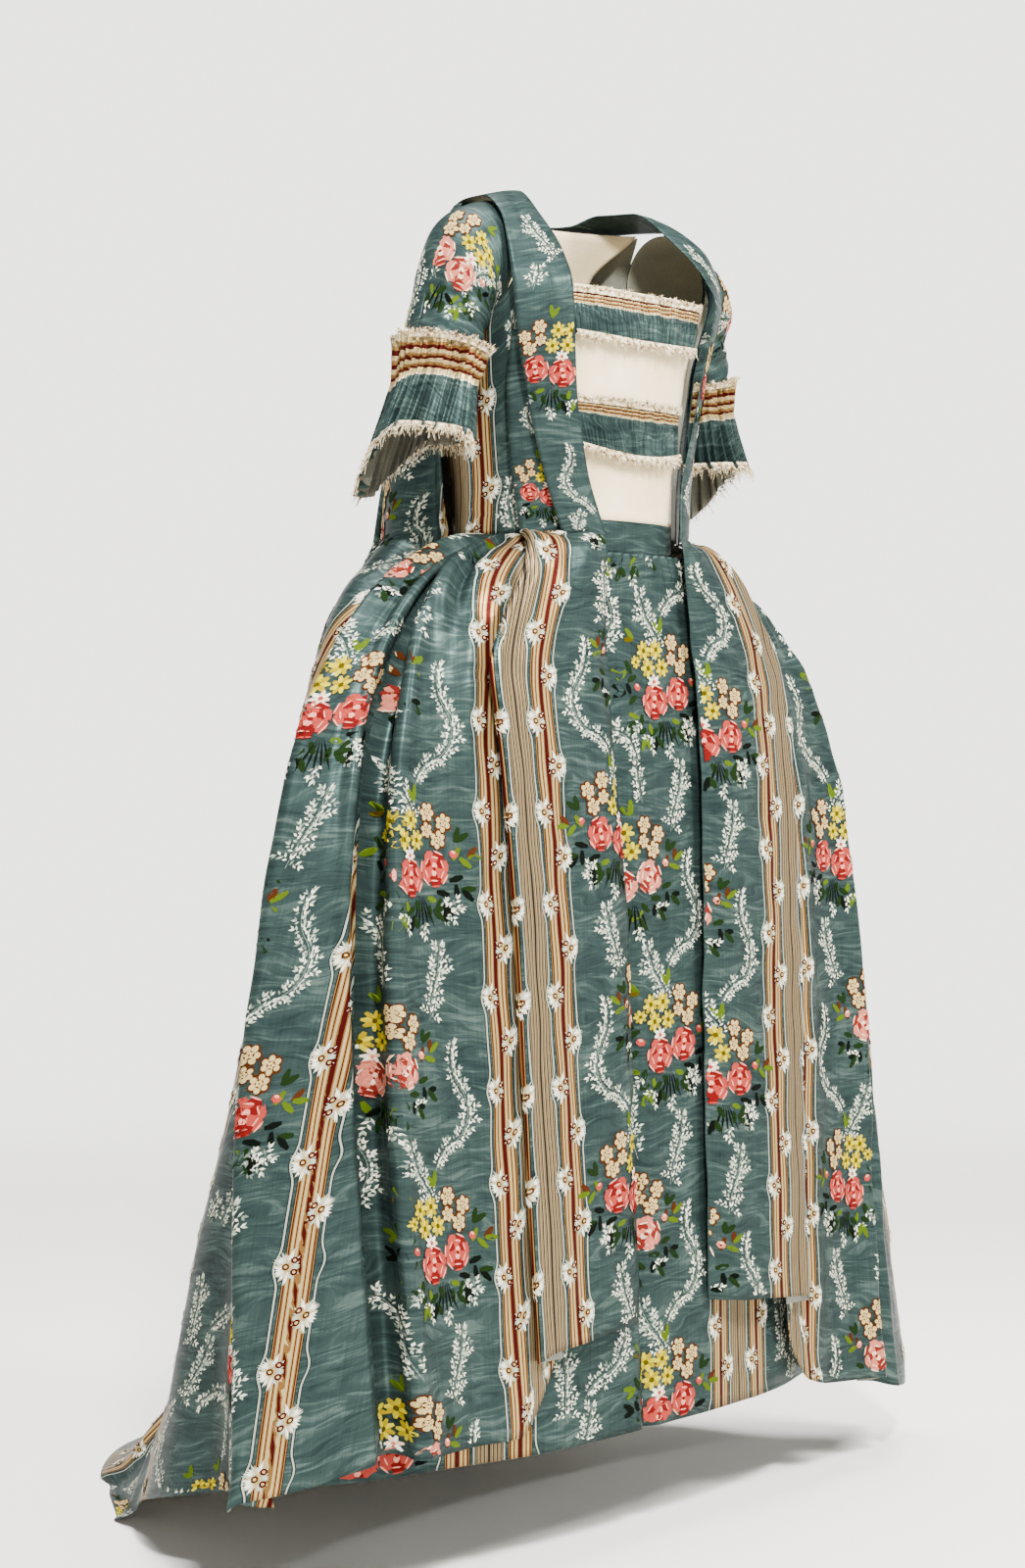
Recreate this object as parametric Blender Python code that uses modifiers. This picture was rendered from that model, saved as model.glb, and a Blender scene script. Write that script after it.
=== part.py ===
"""Robe a la francaise with its petticoat and stomacher, worn over side hoops and filled out with no wearer.

Metres, +Z up, -Y to the wearer's front, +X to the wearer's left. Heights in the tables are above the floor;
the whole gown hangs from an empty that puts the origin at the centre of the waist.
"""

import functools
import math
from collections import namedtuple

import bmesh
import bpy
import numpy as np
from mathutils import Vector

# ---------------------------------------------------------------- driving dimensions
WAIST_HEIGHT = 1.030
NECK = 1.372
WALL = 0.0020  # silk with its turnings
THIN_WALL = 0.0014  # ruffles and trimming
SEAM_GAP = 0.0003
RIGHT, LEFT = -1, 1
SIDES = (("right", RIGHT), ("left", LEFT))

SILK = ((0.24, 0.36, 0.38, 1.0), 0.42)
LINEN = ((0.74, 0.68, 0.58, 1.0), 0.85)
STRIPE = ((0.78, 0.62, 0.42, 1.0), 0.50)
FRINGE = ((0.86, 0.80, 0.68, 1.0), 0.80)

# Outlines of the gown, one row for each height. side_y is where the outline is widest.
Ring = namedtuple("Ring", "height half_width front_y back_y side_y round_front round_back")

SKIRT_RINGS = (
    Ring(0.000, 0.560, -0.158, 0.170, 0.000, 2.6, 2.0),
    Ring(0.077, 0.552, -0.156, 0.165, 0.000, 2.6, 2.0),
    Ring(0.200, 0.530, -0.151, 0.155, 0.000, 2.6, 2.0),
    Ring(0.316, 0.510, -0.146, 0.145, 0.000, 2.6, 2.0),
    Ring(0.430, 0.491, -0.142, 0.135, 0.000, 2.6, 2.0),
    Ring(0.600, 0.456, -0.137, 0.122, 0.000, 2.6, 2.0),
    Ring(0.770, 0.415, -0.128, 0.114, 0.000, 2.6, 2.0),
    Ring(0.870, 0.366, -0.119, 0.110, 0.000, 2.6, 2.0),
    Ring(0.926, 0.317, -0.114, 0.107, 0.000, 2.6, 2.0),
    Ring(0.969, 0.263, -0.112, 0.104, 0.000, 2.6, 2.0),
    Ring(1.008, 0.184, -0.111, 0.100, 0.000, 2.5, 2.0),
    Ring(1.020, 0.148, -0.1105, 0.099, 0.000, 2.4, 2.0),
    Ring(1.030, 0.128, -0.110, 0.098, 0.000, 2.4, 2.0),
)

BODICE_RINGS = (
    Ring(1.010, 0.1295, -0.1105, 0.0985, 0.000, 2.4, 2.0),
    Ring(1.030, 0.1295, -0.1105, 0.0985, 0.000, 2.4, 2.0),
    Ring(1.070, 0.1290, -0.108, 0.098, -0.002, 2.5, 2.1),
    Ring(1.130, 0.136, -0.107, 0.100, -0.004, 2.6, 2.2),
    Ring(1.190, 0.147, -0.111, 0.100, -0.008, 2.6, 2.2),
    Ring(1.240, 0.154, -0.113, 0.097, -0.012, 2.6, 2.2),
    Ring(1.280, 0.158, -0.110, 0.090, -0.015, 2.6, 2.2),
    Ring(1.320, 0.158, -0.096, 0.078, -0.018, 2.4, 2.2),
    Ring(1.360, 0.145, -0.070, 0.064, -0.024, 2.2, 2.2),
    Ring(1.385, 0.125, -0.045, 0.055, -0.030, 2.2, 2.2),
)

# The back hangs loose from the neck, keeps to the body under the arms and spreads into the train.
BACK_RINGS = (
    Ring(0.000, 0.440, -0.140, 0.605, 0.000, 2.2, 1.60),
    Ring(0.015, 0.455, -0.140, 0.560, 0.000, 2.2, 1.55),
    Ring(0.056, 0.485, -0.140, 0.512, 0.000, 2.2, 1.45),
    Ring(0.100, 0.504, -0.140, 0.462, 0.000, 2.2, 1.40),
    Ring(0.160, 0.512, -0.140, 0.415, 0.000, 2.2, 1.35),
    Ring(0.222, 0.510, -0.138, 0.380, 0.000, 2.2, 1.35),
    Ring(0.305, 0.500, -0.136, 0.345, 0.000, 2.2, 1.35),
    Ring(0.378, 0.488, -0.135, 0.312, 0.000, 2.2, 1.35),
    Ring(0.482, 0.467, -0.133, 0.284, 0.002, 2.2, 1.35),
    Ring(0.607, 0.442, -0.131, 0.250, 0.003, 2.2, 1.35),
    Ring(0.770, 0.397, -0.123, 0.226, 0.004, 2.2, 1.38),
    Ring(0.860, 0.358, -0.115, 0.219, 0.006, 2.2, 1.42),
    Ring(0.926, 0.308, -0.105, 0.214, 0.012, 2.2, 1.55),
    Ring(0.969, 0.254, -0.095, 0.210, 0.020, 2.2, 1.65),
    Ring(1.008, 0.176, -0.080, 0.203, 0.034, 2.2, 1.85),
    Ring(1.035, 0.136, -0.050, 0.197, 0.046, 2.2, 2.1),
    Ring(1.090, 0.136, 0.000, 0.182, 0.052, 2.2, 2.2),
    Ring(1.180, 0.144, 0.000, 0.157, 0.054, 2.2, 2.2),
    Ring(1.260, 0.150, 0.000, 0.130, 0.052, 2.2, 2.2),
    Ring(1.330, 0.146, 0.000, 0.096, 0.046, 2.2, 2.2),
    Ring(1.372, 0.132, 0.000, 0.068, 0.022, 2.2, 2.2),
)

# Folds of the skirt. Each row is a line down the cloth: how far round it lies from the front centre at the
# waist, hip, knee and hem, and how far it is lifted off the rings there. The front's places are metres.
Fold = namedtuple("Fold", "name waist hip knee hem lift_waist lift_hip lift_knee lift_hem")
FOLD_HEIGHTS = dict(waist=1.030, hip=0.870, knee=0.550, hem=0.150)

FRONT_FOLDS = (
    Fold("front edge", 0.063, 0.074, 0.062, 0.059, 0.0120, 0.0140, 0.0130, 0.0120),
    Fold("face", 0.092, 0.120, 0.110, 0.104, 0.0150, 0.0170, 0.0170, 0.0170),
    Fold("outer face", 0.120, 0.180, 0.172, 0.164, 0.0180, 0.0180, 0.0180, 0.0190),
    Fold("shoulder of fold", 0.136, 0.233, 0.226, 0.216, 0.0220, 0.0190, 0.0190, 0.0210),
    Fold("fold", 0.141, 0.243, 0.236, 0.226, 0.0175, 0.0155, 0.0155, 0.0175),
    Fold("turned under", 0.136, 0.234, 0.227, 0.217, 0.0130, 0.0114, 0.0112, 0.0132),
    Fold("seam", 0.122, 0.200, 0.194, 0.190, 0.0110, 0.0108, 0.0106, 0.0121),
)

# The side's places are shares of the way from the front centre to the side of the hoops.
SIDE_FOLDS = (
    Fold("inner turn", 0.705, 0.435, 0.360, 0.330, 0.0050, 0.0080, 0.0080, 0.0095),
    Fold("under the front", 0.730, 0.470, 0.400, 0.352, 0.0003, 0.0045, 0.0045, 0.0060),
    Fold("coming out", 0.775, 0.575, 0.480, 0.400, 0.0003, 0.0045, 0.0045, 0.0070),
    Fold("striped ridge", 0.812, 0.640, 0.540, 0.450, 0.0015, 0.0100, 0.0130, 0.0120),
    Fold("gore", 0.836, 0.715, 0.615, 0.530, 0.0020, 0.0120, 0.0130, 0.0130),
    Fold("gore edge", 0.858, 0.790, 0.730, 0.628, 0.0040, 0.0180, 0.0230, 0.0220),
    Fold("valley wall", 0.870, 0.812, 0.754, 0.652, 0.0005, 0.0060, 0.0060, 0.0100),
    Fold("valley", 0.886, 0.845, 0.786, 0.684, -0.0005, -0.0030, -0.0040, 0.0040),
    Fold("second ridge", 0.904, 0.872, 0.820, 0.722, 0.0010, 0.0100, 0.0130, 0.0140),
    Fold("second gore", 0.928, 0.905, 0.870, 0.800, 0.0030, 0.0160, 0.0180, 0.0200),
    Fold("shoulder of fold", 0.985, 0.948, 0.946, 0.898, 0.0140, 0.0190, 0.0200, 0.0220),
    Fold("back fold", 1.012, 0.962, 0.961, 0.914, 0.0090, 0.0150, 0.0160, 0.0180),
    Fold("turned under", 0.985, 0.948, 0.948, 0.902, 0.0035, 0.0110, 0.0120, 0.0140),
    Fold("inner end", 0.960, 0.915, 0.912, 0.866, 0.0030, 0.0090, 0.0100, 0.0120),
)

# The back's folds are shares of the way from the back centre to the side.
BackFold = namedtuple("BackFold", "name neck blade seat train lift_neck lift_blade lift_seat lift_train")
BACK_HEIGHTS = dict(neck=NECK, blade=1.200, seat=0.870, train=0.030)
BACK_FOLDS = (
    BackFold("centre crease", 0.000, 0.000, 0.000, 0.000, 0.0020, 0.0000, -0.0060, -0.0030),
    BackFold("inner edge", 0.040, 0.040, 0.040, 0.060, 0.0140, 0.0140, 0.0120, 0.0020),
    BackFold("box pleat", 0.200, 0.200, 0.170, 0.180, 0.0170, 0.0190, 0.0220, 0.0050),
    BackFold("outer edge", 0.380, 0.360, 0.280, 0.300, 0.0170, 0.0180, 0.0220, 0.0050),
    BackFold("edge turn", 0.400, 0.380, 0.300, 0.330, 0.0135, 0.0135, 0.0150, 0.0010),
    BackFold("edge under", 0.380, 0.360, 0.292, 0.360, 0.0100, 0.0090, 0.0080, -0.0030),
    BackFold("second pleat", 0.440, 0.430, 0.370, 0.420, 0.0100, 0.0090, 0.0100, 0.0010),
    BackFold("second edge", 0.540, 0.530, 0.470, 0.530, 0.0100, 0.0090, 0.0160, 0.0100),
    BackFold("second turn", 0.560, 0.550, 0.490, 0.560, 0.0065, 0.0050, 0.0100, 0.0040),
    BackFold("second under", 0.540, 0.530, 0.484, 0.610, 0.0030, 0.0010, 0.0020, -0.0080),
    BackFold("hip gore", 0.700, 0.700, 0.650, 0.720, 0.0010, 0.0000, 0.0020, -0.0040),
    BackFold("hip gore back", 0.850, 0.850, 0.820, 0.850, 0.0005, 0.0000, 0.0030, 0.0020),
    BackFold("side edge", 1.000, 1.000, 1.060, 1.080, 0.0000, 0.0000, 0.0000, 0.0000),
)


# ---------------------------------------------------------------- reading the tables
def smooth_read(keys, values, at):
    """A value between the rows of a table, on a curve that never overshoots them."""
    at = min(max(at, keys[0]), keys[-1])
    i = min(int(np.searchsorted(keys, at, side="right")) - 1, len(keys) - 2)
    slopes = [(values[k + 1] - values[k]) / (keys[k + 1] - keys[k]) for k in range(len(keys) - 1)]

    def tangent(k):
        if k in (0, len(keys) - 1):
            return slopes[min(k, len(slopes) - 1)]
        before, after = slopes[k - 1], slopes[k]
        return 2 * before * after / (before + after) if before * after > 0 else 0.0

    span = keys[i + 1] - keys[i]
    t = (at - keys[i]) / span
    return (
        values[i] * (1 + 2 * t) * (1 - t) ** 2
        + tangent(i) * span * t * (1 - t) ** 2
        + values[i + 1] * t * t * (3 - 2 * t)
        + tangent(i + 1) * span * t * t * (t - 1)
    )


@functools.lru_cache(maxsize=None)
def ring_at(rings, height):
    """All the columns of a ring table at one height."""
    keys = [row.height for row in rings]
    columns = list(zip(*rings))
    return Ring(*(smooth_read(keys, column, height) for column in columns))


@functools.lru_cache(maxsize=None)
def half_outline(rings, height):
    """x, y and the way along the outline from the front centre to the back centre, on the +X side."""
    ring = ring_at(rings, height)
    angles = np.linspace(0, math.pi, 97)
    front = angles <= math.pi / 2
    power = np.where(front, 2 / ring.round_front, 2 / ring.round_back)
    depth = np.where(front, ring.side_y - ring.front_y, ring.back_y - ring.side_y)
    x = ring.half_width * np.abs(np.sin(angles)) ** power
    y = ring.side_y - np.sign(np.cos(angles)) * depth * np.abs(np.cos(angles)) ** power
    way = np.concatenate([[0], np.cumsum(np.hypot(np.diff(x), np.diff(y)))])
    return x, y, way


def side_way(rings, height):
    """How far round the side seam lies from the front centre."""
    x, _, way = half_outline(rings, height)
    return float(way[int(np.argmax(x))])


def outward(rings, x, y, height):
    """The outward direction of the ringed form at a point of the +X side."""
    step = 0.002
    ring = ring_at(rings, height)
    above, below = ring_at(rings, height + step), ring_at(rings, height - step)

    def depth_of(row):
        return row.side_y - row.front_y if y < row.side_y else row.back_y - row.side_y

    power = ring.round_front if y < ring.side_y else ring.round_back
    depth = max(depth_of(ring), 1e-4)
    share_x, share_y = abs(x) / ring.half_width, abs(y - ring.side_y) / depth
    wider = (above.half_width - below.half_width) / (2 * step) / ring.half_width
    deeper = (depth_of(above) - depth_of(below)) / (2 * step) / depth
    normal = Vector((
        share_x ** (power - 1) / ring.half_width,
        math.copysign(share_y ** (power - 1) / depth, y - ring.side_y),
        -(share_x**power * wider + share_y**power * deeper),
    ))
    return normal.normalized()


LEVEL_BELOW, LEVEL_NEAR_WAIST, LEVEL_NEAR_NECK = 0.20, 0.035, 0.050


def on_rings(rings, way, height, lift=0.0, side=LEFT):
    """The point that lies that far round a ringed form from the front centre, lifted off it.

    Close to the floor, the waist and the neck the lift is level, so that no fold is pushed up or down.
    """
    x_line, y_line, way_line = half_outline(rings, height)
    mirrored = way < 0
    x = float(np.interp(abs(way), way_line, x_line))
    y = float(np.interp(abs(way), way_line, y_line))
    off = outward(rings, x, y, height)
    near_waist = abs(WAIST_HEIGHT - height) / LEVEL_NEAR_WAIST
    off.z *= min(1.0, height / LEVEL_BELOW, near_waist, abs(NECK - height) / LEVEL_NEAR_NECK)
    point = Vector((x, y, height)) + off.normalized() * lift
    point.x *= -side if mirrored else side
    return point


def fold_line(folds, heights, index, height):
    """The place and the lift of one fold at a height."""
    row = folds[index]
    names = sorted(heights, key=heights.get)
    keys = [heights[name] for name in names]
    place = smooth_read(keys, [getattr(row, name) for name in names], height)
    lift = smooth_read(keys, [getattr(row, "lift_" + name) for name in names], height)
    return place, lift


# ---------------------------------------------------------------- making a piece of cloth
def material(name, look):
    """A plain cloth finish."""
    made = bpy.data.materials.new(name)
    made.use_nodes = True
    shader = made.node_tree.nodes["Principled BSDF"]
    shader.inputs["Base Color"].default_value = look[0]
    shader.inputs["Roughness"].default_value = look[1]
    shader.inputs["Metallic"].default_value = 0.0
    return made


SHOULDER_OUT, SHOULDER_FORWARD = 0.018, 0.012
SHOULDER_FROM, SHOULDER_FULL = 1.20, 1.32


def posed(point):
    """The wearer's left shoulder is held a little out and forward."""
    share = min(1.0, max(0.0, (point.z - SHOULDER_FROM) / (SHOULDER_FULL - SHOULDER_FROM)))
    share *= share * (3 - 2 * share) * min(1.0, max(0.0, point.x / 0.10))
    return Vector((point.x + SHOULDER_OUT * share, point.y - SHOULDER_FORWARD * share, point.z))


def cloth(name, across, down, place, look, wall=WALL, tube=False):
    """A piece of cloth: a grid whose point (u, v) is moved to place(u, v), given its thickness.

    u runs across the piece and v down it, both from 0 to 1. A tube's two upright edges are joined.
    """
    mesh = bpy.data.meshes.new(name)
    form = bmesh.new()
    bmesh.ops.create_grid(form, x_segments=across, y_segments=down, size=0.5)
    for vert in form.verts:
        u, v = vert.co.x + 0.5, 0.5 - vert.co.y
        vert.co = posed(place(round(u * across) / across, round(v * down) / down))
    if tube:
        bmesh.ops.remove_doubles(form, verts=form.verts, dist=1e-5)
    bmesh.ops.recalc_face_normals(form, faces=form.faces)
    form.to_mesh(mesh)
    form.free()
    mesh.shade_smooth()
    made = bpy.data.objects.new(name, mesh)
    made.data.materials.append(material(name, look))
    made.parent = hanger
    gown.objects.link(made)
    thick = made.modifiers.new("cloth thickness", "SOLIDIFY")
    thick.thickness = wall
    thick.offset = 0.0
    thick.use_even_offset = True
    thick.use_quality_normals = True
    return made


def spread(values, share):
    """A value a given share of the way through an evenly read list."""
    return smooth_read(list(range(len(values))), list(values), share * (len(values) - 1))


def unevenly(share, first, power):
    """Rows of cloth, closer together near the top where the form turns fast."""
    return first * share + (1 - first) * share**power


# ---------------------------------------------------------------- petticoat
PETTICOAT_HEM = 0.118
PETTICOAT_TOP, BAND_TOP = 1.0125, 1.045
PETTICOAT_SIDE_RISE = 0.014  # the seam with the band climbs towards the sides, over the hoops
PETTICOAT_PLEATS = 7  # flat pleats on each side of the front
PETTICOAT_LIFT = -0.0039
PETTICOAT_SIDE_TUCK, PETTICOAT_HEM_TUCK = 0.027, 0.034  # the hidden sides lie closer to the legs
PETTICOAT_TUCK_FROM = 0.050  # how far below the band they have come in
PETTICOAT_SIDE_SEAM, PETTICOAT_SIDE_SEAM_HEM = 0.0016, 0.0044
BAND_LIFT = -0.0060


def petticoat_top(share):
    """The height of the seam between petticoat and band; share is 0 at the front centre and 1 at the side."""
    return PETTICOAT_TOP + PETTICOAT_SIDE_RISE * min(1.0, max(0.0, share - 0.35) / 0.45)


def petticoat_point(share, v, side, front):
    """A point of the petticoat, which falls from its band over the hoops. share is 1 at the side seam."""
    top = petticoat_top(share) if front else petticoat_top(1.0)
    height = top + (PETTICOAT_HEM - top) * unevenly(v, 0.25, 1.6)
    seam = side_way(SKIRT_RINGS, height)
    total = half_outline(SKIRT_RINGS, height)[2][-1]
    gap = (PETTICOAT_SIDE_SEAM + (PETTICOAT_SIDE_SEAM_HEM - PETTICOAT_SIDE_SEAM) * math.sqrt(v)) / 2
    if front:
        way = share * (seam - gap)
    else:
        way = seam + gap + (total - seam - gap) * (1 - share)
    tuck = PETTICOAT_SIDE_TUCK + PETTICOAT_HEM_TUCK * v * v
    tuck *= min(1.0, max(0.0, share - 0.25) / 0.6) if front else 1.0
    tuck *= min(1.0, (top - height) / PETTICOAT_TUCK_FROM)
    wave = math.sin(math.pi * PETTICOAT_PLEATS * share) * min(1.0, share * 4) * min(1.0, (1 - share) * 6)
    ripple = 0.0020 * min(1.0, v * 3) * wave
    return on_rings(SKIRT_RINGS, way, height, PETTICOAT_LIFT - tuck + ripple, side)


def petticoat():
    """Two widths of silk, seamed at the sides, on a plain band."""

    def panel(front):
        def place(u, v):
            return petticoat_point(abs(2 * u - 1), v, LEFT if u >= 0.5 else RIGHT, front)

        return place

    cloth("petticoat_front", 24, 8, panel(True), SILK)
    cloth("petticoat_back", 20, 6, panel(False), SILK)

    def band(u, v):
        turn = 2 * u - 1
        total = half_outline(BODICE_RINGS, BAND_TOP)[2][-1]
        share = abs(turn) * total / side_way(BODICE_RINGS, BAND_TOP)
        low = petticoat_top(share) + 2 * SEAM_GAP
        height = BAND_TOP + (low - BAND_TOP) * v
        way = abs(turn) * half_outline(BODICE_RINGS, height)[2][-1]
        return on_rings(BODICE_RINGS, way, height, BAND_LIFT, LEFT if turn >= 0 else RIGHT)

    cloth("petticoat_waistband", 28, 1, band, SILK, tube=True)


# ---------------------------------------------------------------- skirt of the robe
SKIRT_TOP = 1.0285
FRONT_HEM_EDGE, FRONT_HEM_FOLD = 0.235, 0.212
# The hem of each side, by the share of the panel's width, from under the front to the fold at the back.
Hem = namedtuple("Hem", "share right left")
SIDE_HEM = (
    Hem(0.00, 0.213, 0.213),
    Hem(0.08, 0.180, 0.165),
    Hem(0.16, 0.142, 0.122),
    Hem(0.38, 0.145, 0.102),
    Hem(0.55, 0.156, 0.090),
    Hem(0.78, 0.140, 0.066),
    Hem(0.90, 0.112, 0.052),
    Hem(1.00, 0.116, 0.060),
)


def skirt_panel(folds, shares, hem, side):
    """A panel of the robe's skirt, whose width follows its folds from front to back."""

    def place(u, v):
        height = SKIRT_TOP + (hem(u) - SKIRT_TOP) * unevenly(v, 0.28, 1.6)
        lines = [fold_line(folds, FOLD_HEIGHTS, k, height) for k in range(len(folds))]
        way = spread([line[0] for line in lines], u)
        if shares:
            way *= side_way(SKIRT_RINGS, height)
        return on_rings(SKIRT_RINGS, way, height, spread([line[1] for line in lines], u), side)

    return place


def front_hem(u):
    """The front hangs a hand above the petticoat's hem."""
    return FRONT_HEM_EDGE + (FRONT_HEM_FOLD - FRONT_HEM_EDGE) * min(1.0, u * 1.5)


def side_hem(side):
    """The side drops from under the front panel towards the train."""
    shares = [row.share for row in SIDE_HEM]
    heights = [row.right if side == RIGHT else row.left for row in SIDE_HEM]
    return lambda u: smooth_read(shares, heights, u)


def robe_skirt():
    """Front and side panels, pleated into the waist over the hoops."""
    for word, side in SIDES:
        cloth(f"skirt_front_{word}", 12, 8, skirt_panel(FRONT_FOLDS, False, front_hem, side), SILK)
        cloth(f"skirt_side_{word}", 26, 9, skirt_panel(SIDE_FOLDS, True, side_hem(side), side), SILK)


# ---------------------------------------------------------------- back and train
TRAIN_FLOOR = 0.0013
TRAIN_HEM_SIDE = 0.100
# Heights of the rows of cloth, at the back centre. They crowd where the form turns.
BACK_ROWS = (
    1.372, 1.330, 1.270, 1.190, 1.110, 1.045, 1.010, 0.970, 0.910, 0.830, 0.700,
    0.540, 0.380, 0.260, 0.165, 0.090, 0.040, 0.000,
)


# Columns of cloth, counted in folds from the back centre: one on each fold, more on the wide ones.
BACK_COLUMNS = (0, 1, 1.5, 2, 2.5, 3, 4, 5, 6, 7, 8, 9, 9.5, 10, 10.5, 11, 11.5, 12)


def train_hem(share):
    """The train's hem: on the floor at the back, rising towards the side."""
    return TRAIN_FLOOR + (TRAIN_HEM_SIDE - TRAIN_FLOOR) * smooth_read(
        [0.00, 0.64, 0.76, 0.90, 1.00], [0.0, 0.0, 0.35, 0.80, 1.0], share
    )


def back_panel(u, v):
    """The loose back: box pleats at the neck that open into the train."""
    turn = 2 * u - 1
    column = round(abs(turn) * (len(BACK_COLUMNS) - 1))
    share = BACK_COLUMNS[column] / BACK_COLUMNS[-1]
    row = smooth_read(list(range(len(BACK_ROWS))), list(BACK_ROWS), v * (len(BACK_ROWS) - 1))
    height = NECK - (NECK - row) * (NECK - train_hem(share)) / NECK
    lines = [fold_line(BACK_FOLDS, BACK_HEIGHTS, k, height) for k in range(len(BACK_FOLDS))]
    place = spread([line[0] for line in lines], share)
    lift = spread([line[1] for line in lines], share)
    total = half_outline(BACK_RINGS, height)[2][-1]
    length = total - side_way(BACK_RINGS, height)
    return on_rings(BACK_RINGS, total - place * length, height, lift, LEFT if turn >= 0 else RIGHT)


def robe_back():
    """Both widths of the back in one node, from the neck to the end of the train."""
    cloth("back_with_train", 2 * len(BACK_COLUMNS) - 2, len(BACK_ROWS) - 1, back_panel, SILK)


# ---------------------------------------------------------------- bodice
ARMHOLE_CENTRE_Y, ARMHOLE_CENTRE_Z = -0.012, 1.312
ARMHOLE_DEEP, ARMHOLE_WIDE = 0.066, 0.054
BODICE_BOTTOM = SKIRT_TOP + 0.0013


SIDE_BODY_FRONT, SIDE_BODY_BACK = 0.64, 1.52


def armhole_height(y):
    """The height of the armhole's lower edge above a point of the side, or of the top edge beside it."""
    off = (y - ARMHOLE_CENTRE_Y) / ARMHOLE_WIDE
    if abs(off) >= 1:
        return ARMHOLE_CENTRE_Z
    return ARMHOLE_CENTRE_Z - ARMHOLE_DEEP * math.sqrt(1 - off * off)


def side_body(side):
    """The close-fitting side, from under the robing round to the back seam."""

    def place(u, v):
        turn = SIDE_BODY_FRONT + (SIDE_BODY_BACK - SIDE_BODY_FRONT) * u
        probe = ring_way(BODICE_RINGS, turn, 1.26)
        y = on_rings(BODICE_RINGS, probe, 1.26).y
        top = armhole_height(y) - 0.003
        height = top + (BODICE_BOTTOM - top) * v
        return on_rings(BODICE_RINGS, ring_way(BODICE_RINGS, turn, height), height, 0.0, side)

    return place


def ring_way(rings, turn, height):
    """The way round for a turn of 0 at the front centre, 1 at the side and 2 at the back centre."""
    side = side_way(rings, height)
    total = half_outline(rings, height)[2][-1]
    return turn * side if turn <= 1 else side + (turn - 1) * (total - side)


def back_body(u, v):
    """The fitted back under the loose pleats, seen inside the neck."""
    turn = 2 * u - 1
    height = NECK + (BODICE_BOTTOM - NECK) * v
    reach = smooth_read([0, 0.15, 0.5, 1], [0.74, 0.475, 0.475, 0.475], v)
    way = ring_way(BODICE_RINGS, 2 - abs(turn) * reach, height)
    return on_rings(BODICE_RINGS, way, height, 0.0, LEFT if turn >= 0 else RIGHT)


# Each row is one station of the robing, from the back of the neck over the shoulder to the waist.
Strip = namedtuple("Strip", "inner_x inner_y inner_z outer_x outer_y outer_z")
ROBING = (
    Strip(0.0005, 0.0590, 1.3738, 0.0005, 0.0880, 1.3738),
    Strip(0.034, 0.0560, 1.3740, 0.062, 0.0800, 1.3738),
    Strip(0.058, 0.0470, 1.3775, 0.106, 0.056, 1.3745),
    Strip(0.072, 0.022, 1.388, 0.130, 0.020, 1.3765),
    Strip(0.083, -0.012, 1.388, 0.143, -0.016, 1.3745),
    Strip(0.094, -0.054, 1.355, 0.156, -0.053, 1.348),
    Strip(0.103, -0.090, 1.313, 0.163, -0.069, 1.300),
    Strip(0.110, -0.108, 1.276, 0.161, -0.073, 1.262),
    Strip(0.109, -0.110, 1.225, 0.155, -0.074, 1.215),
    Strip(0.098, -0.105, 1.155, 0.140, -0.076, 1.150),
    Strip(0.081, -0.103, 1.095, 0.125, -0.081, 1.092),
    Strip(0.063, -0.113, 1.0298, 0.106, -0.090, 1.0298),
)
UNDER_ROBING = (
    Strip(0.122, -0.0915, 1.240, 0.150, -0.060, 1.232),
    Strip(0.118, -0.0870, 1.180, 0.146, -0.050, 1.174),
    Strip(0.108, -0.0830, 1.110, 0.138, -0.048, 1.106),
    Strip(0.096, -0.0865, 1.0298, 0.132, -0.057, 1.0298),
)


def strip_point(table, u, v, bulge):
    """A point of a robing: u from its inner to its outer edge, v along its length."""
    columns = list(zip(*table))
    at = [spread(column, v) for column in columns]
    inner, outer = Vector(at[:3]), Vector(at[3:])
    out = Vector((0.35, -1.0, 0.35)).normalized()
    return inner.lerp(outer, u) + out * bulge * 4 * u * (1 - u)


def robing(table, bulge, side):
    def place(u, v):
        point = strip_point(table, u, v, bulge)
        return Vector((point.x * side, point.y, point.z))

    return place


def bodice():
    """Fitted sides and back, with the folded robings down the front."""
    cloth("back_body", 12, 6, back_body, LINEN)
    for word, side in SIDES:
        cloth(f"side_body_{word}", 8, 5, side_body(side), SILK)
        cloth(f"robing_{word}", 3, 18, robing(ROBING, 0.004, side), SILK)
        cloth(f"under_robing_{word}", 2, 5, robing(UNDER_ROBING, 0.002, side), SILK)


# ---------------------------------------------------------------- stomacher
STOMACHER_TOP, STOMACHER_BOTTOM = 1.284, BAND_TOP + SEAM_GAP
STOMACHER_LIFT = -0.0060
RUFFLE_LIFT = STOMACHER_LIFT + 0.0023
Ruffle = namedtuple("Ruffle", "name top bottom sag waves")
RUFFLES = (
    Ruffle("upper", 1.279, 1.231, 0.004, 7),
    Ruffle("lower", 1.168, 1.118, 0.010, 7),
)


def stomacher_half(height):
    """Half the width of the stomacher, which is tucked behind the robings."""
    return smooth_read([1.03, 1.10, 1.20, 1.29], [0.070, 0.088, 0.106, 0.112], height)


def on_chest(x, height, lift):
    """A point on the front of the bodice, x across from the centre line."""
    x_line, y_line, way_line = half_outline(BODICE_RINGS, height)
    front = slice(0, int(np.argmax(x_line)) + 1)
    way = float(np.interp(abs(x), x_line[front], way_line[front]))
    return on_rings(BODICE_RINGS, way, height, lift, LEFT if x >= 0 else RIGHT)


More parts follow.
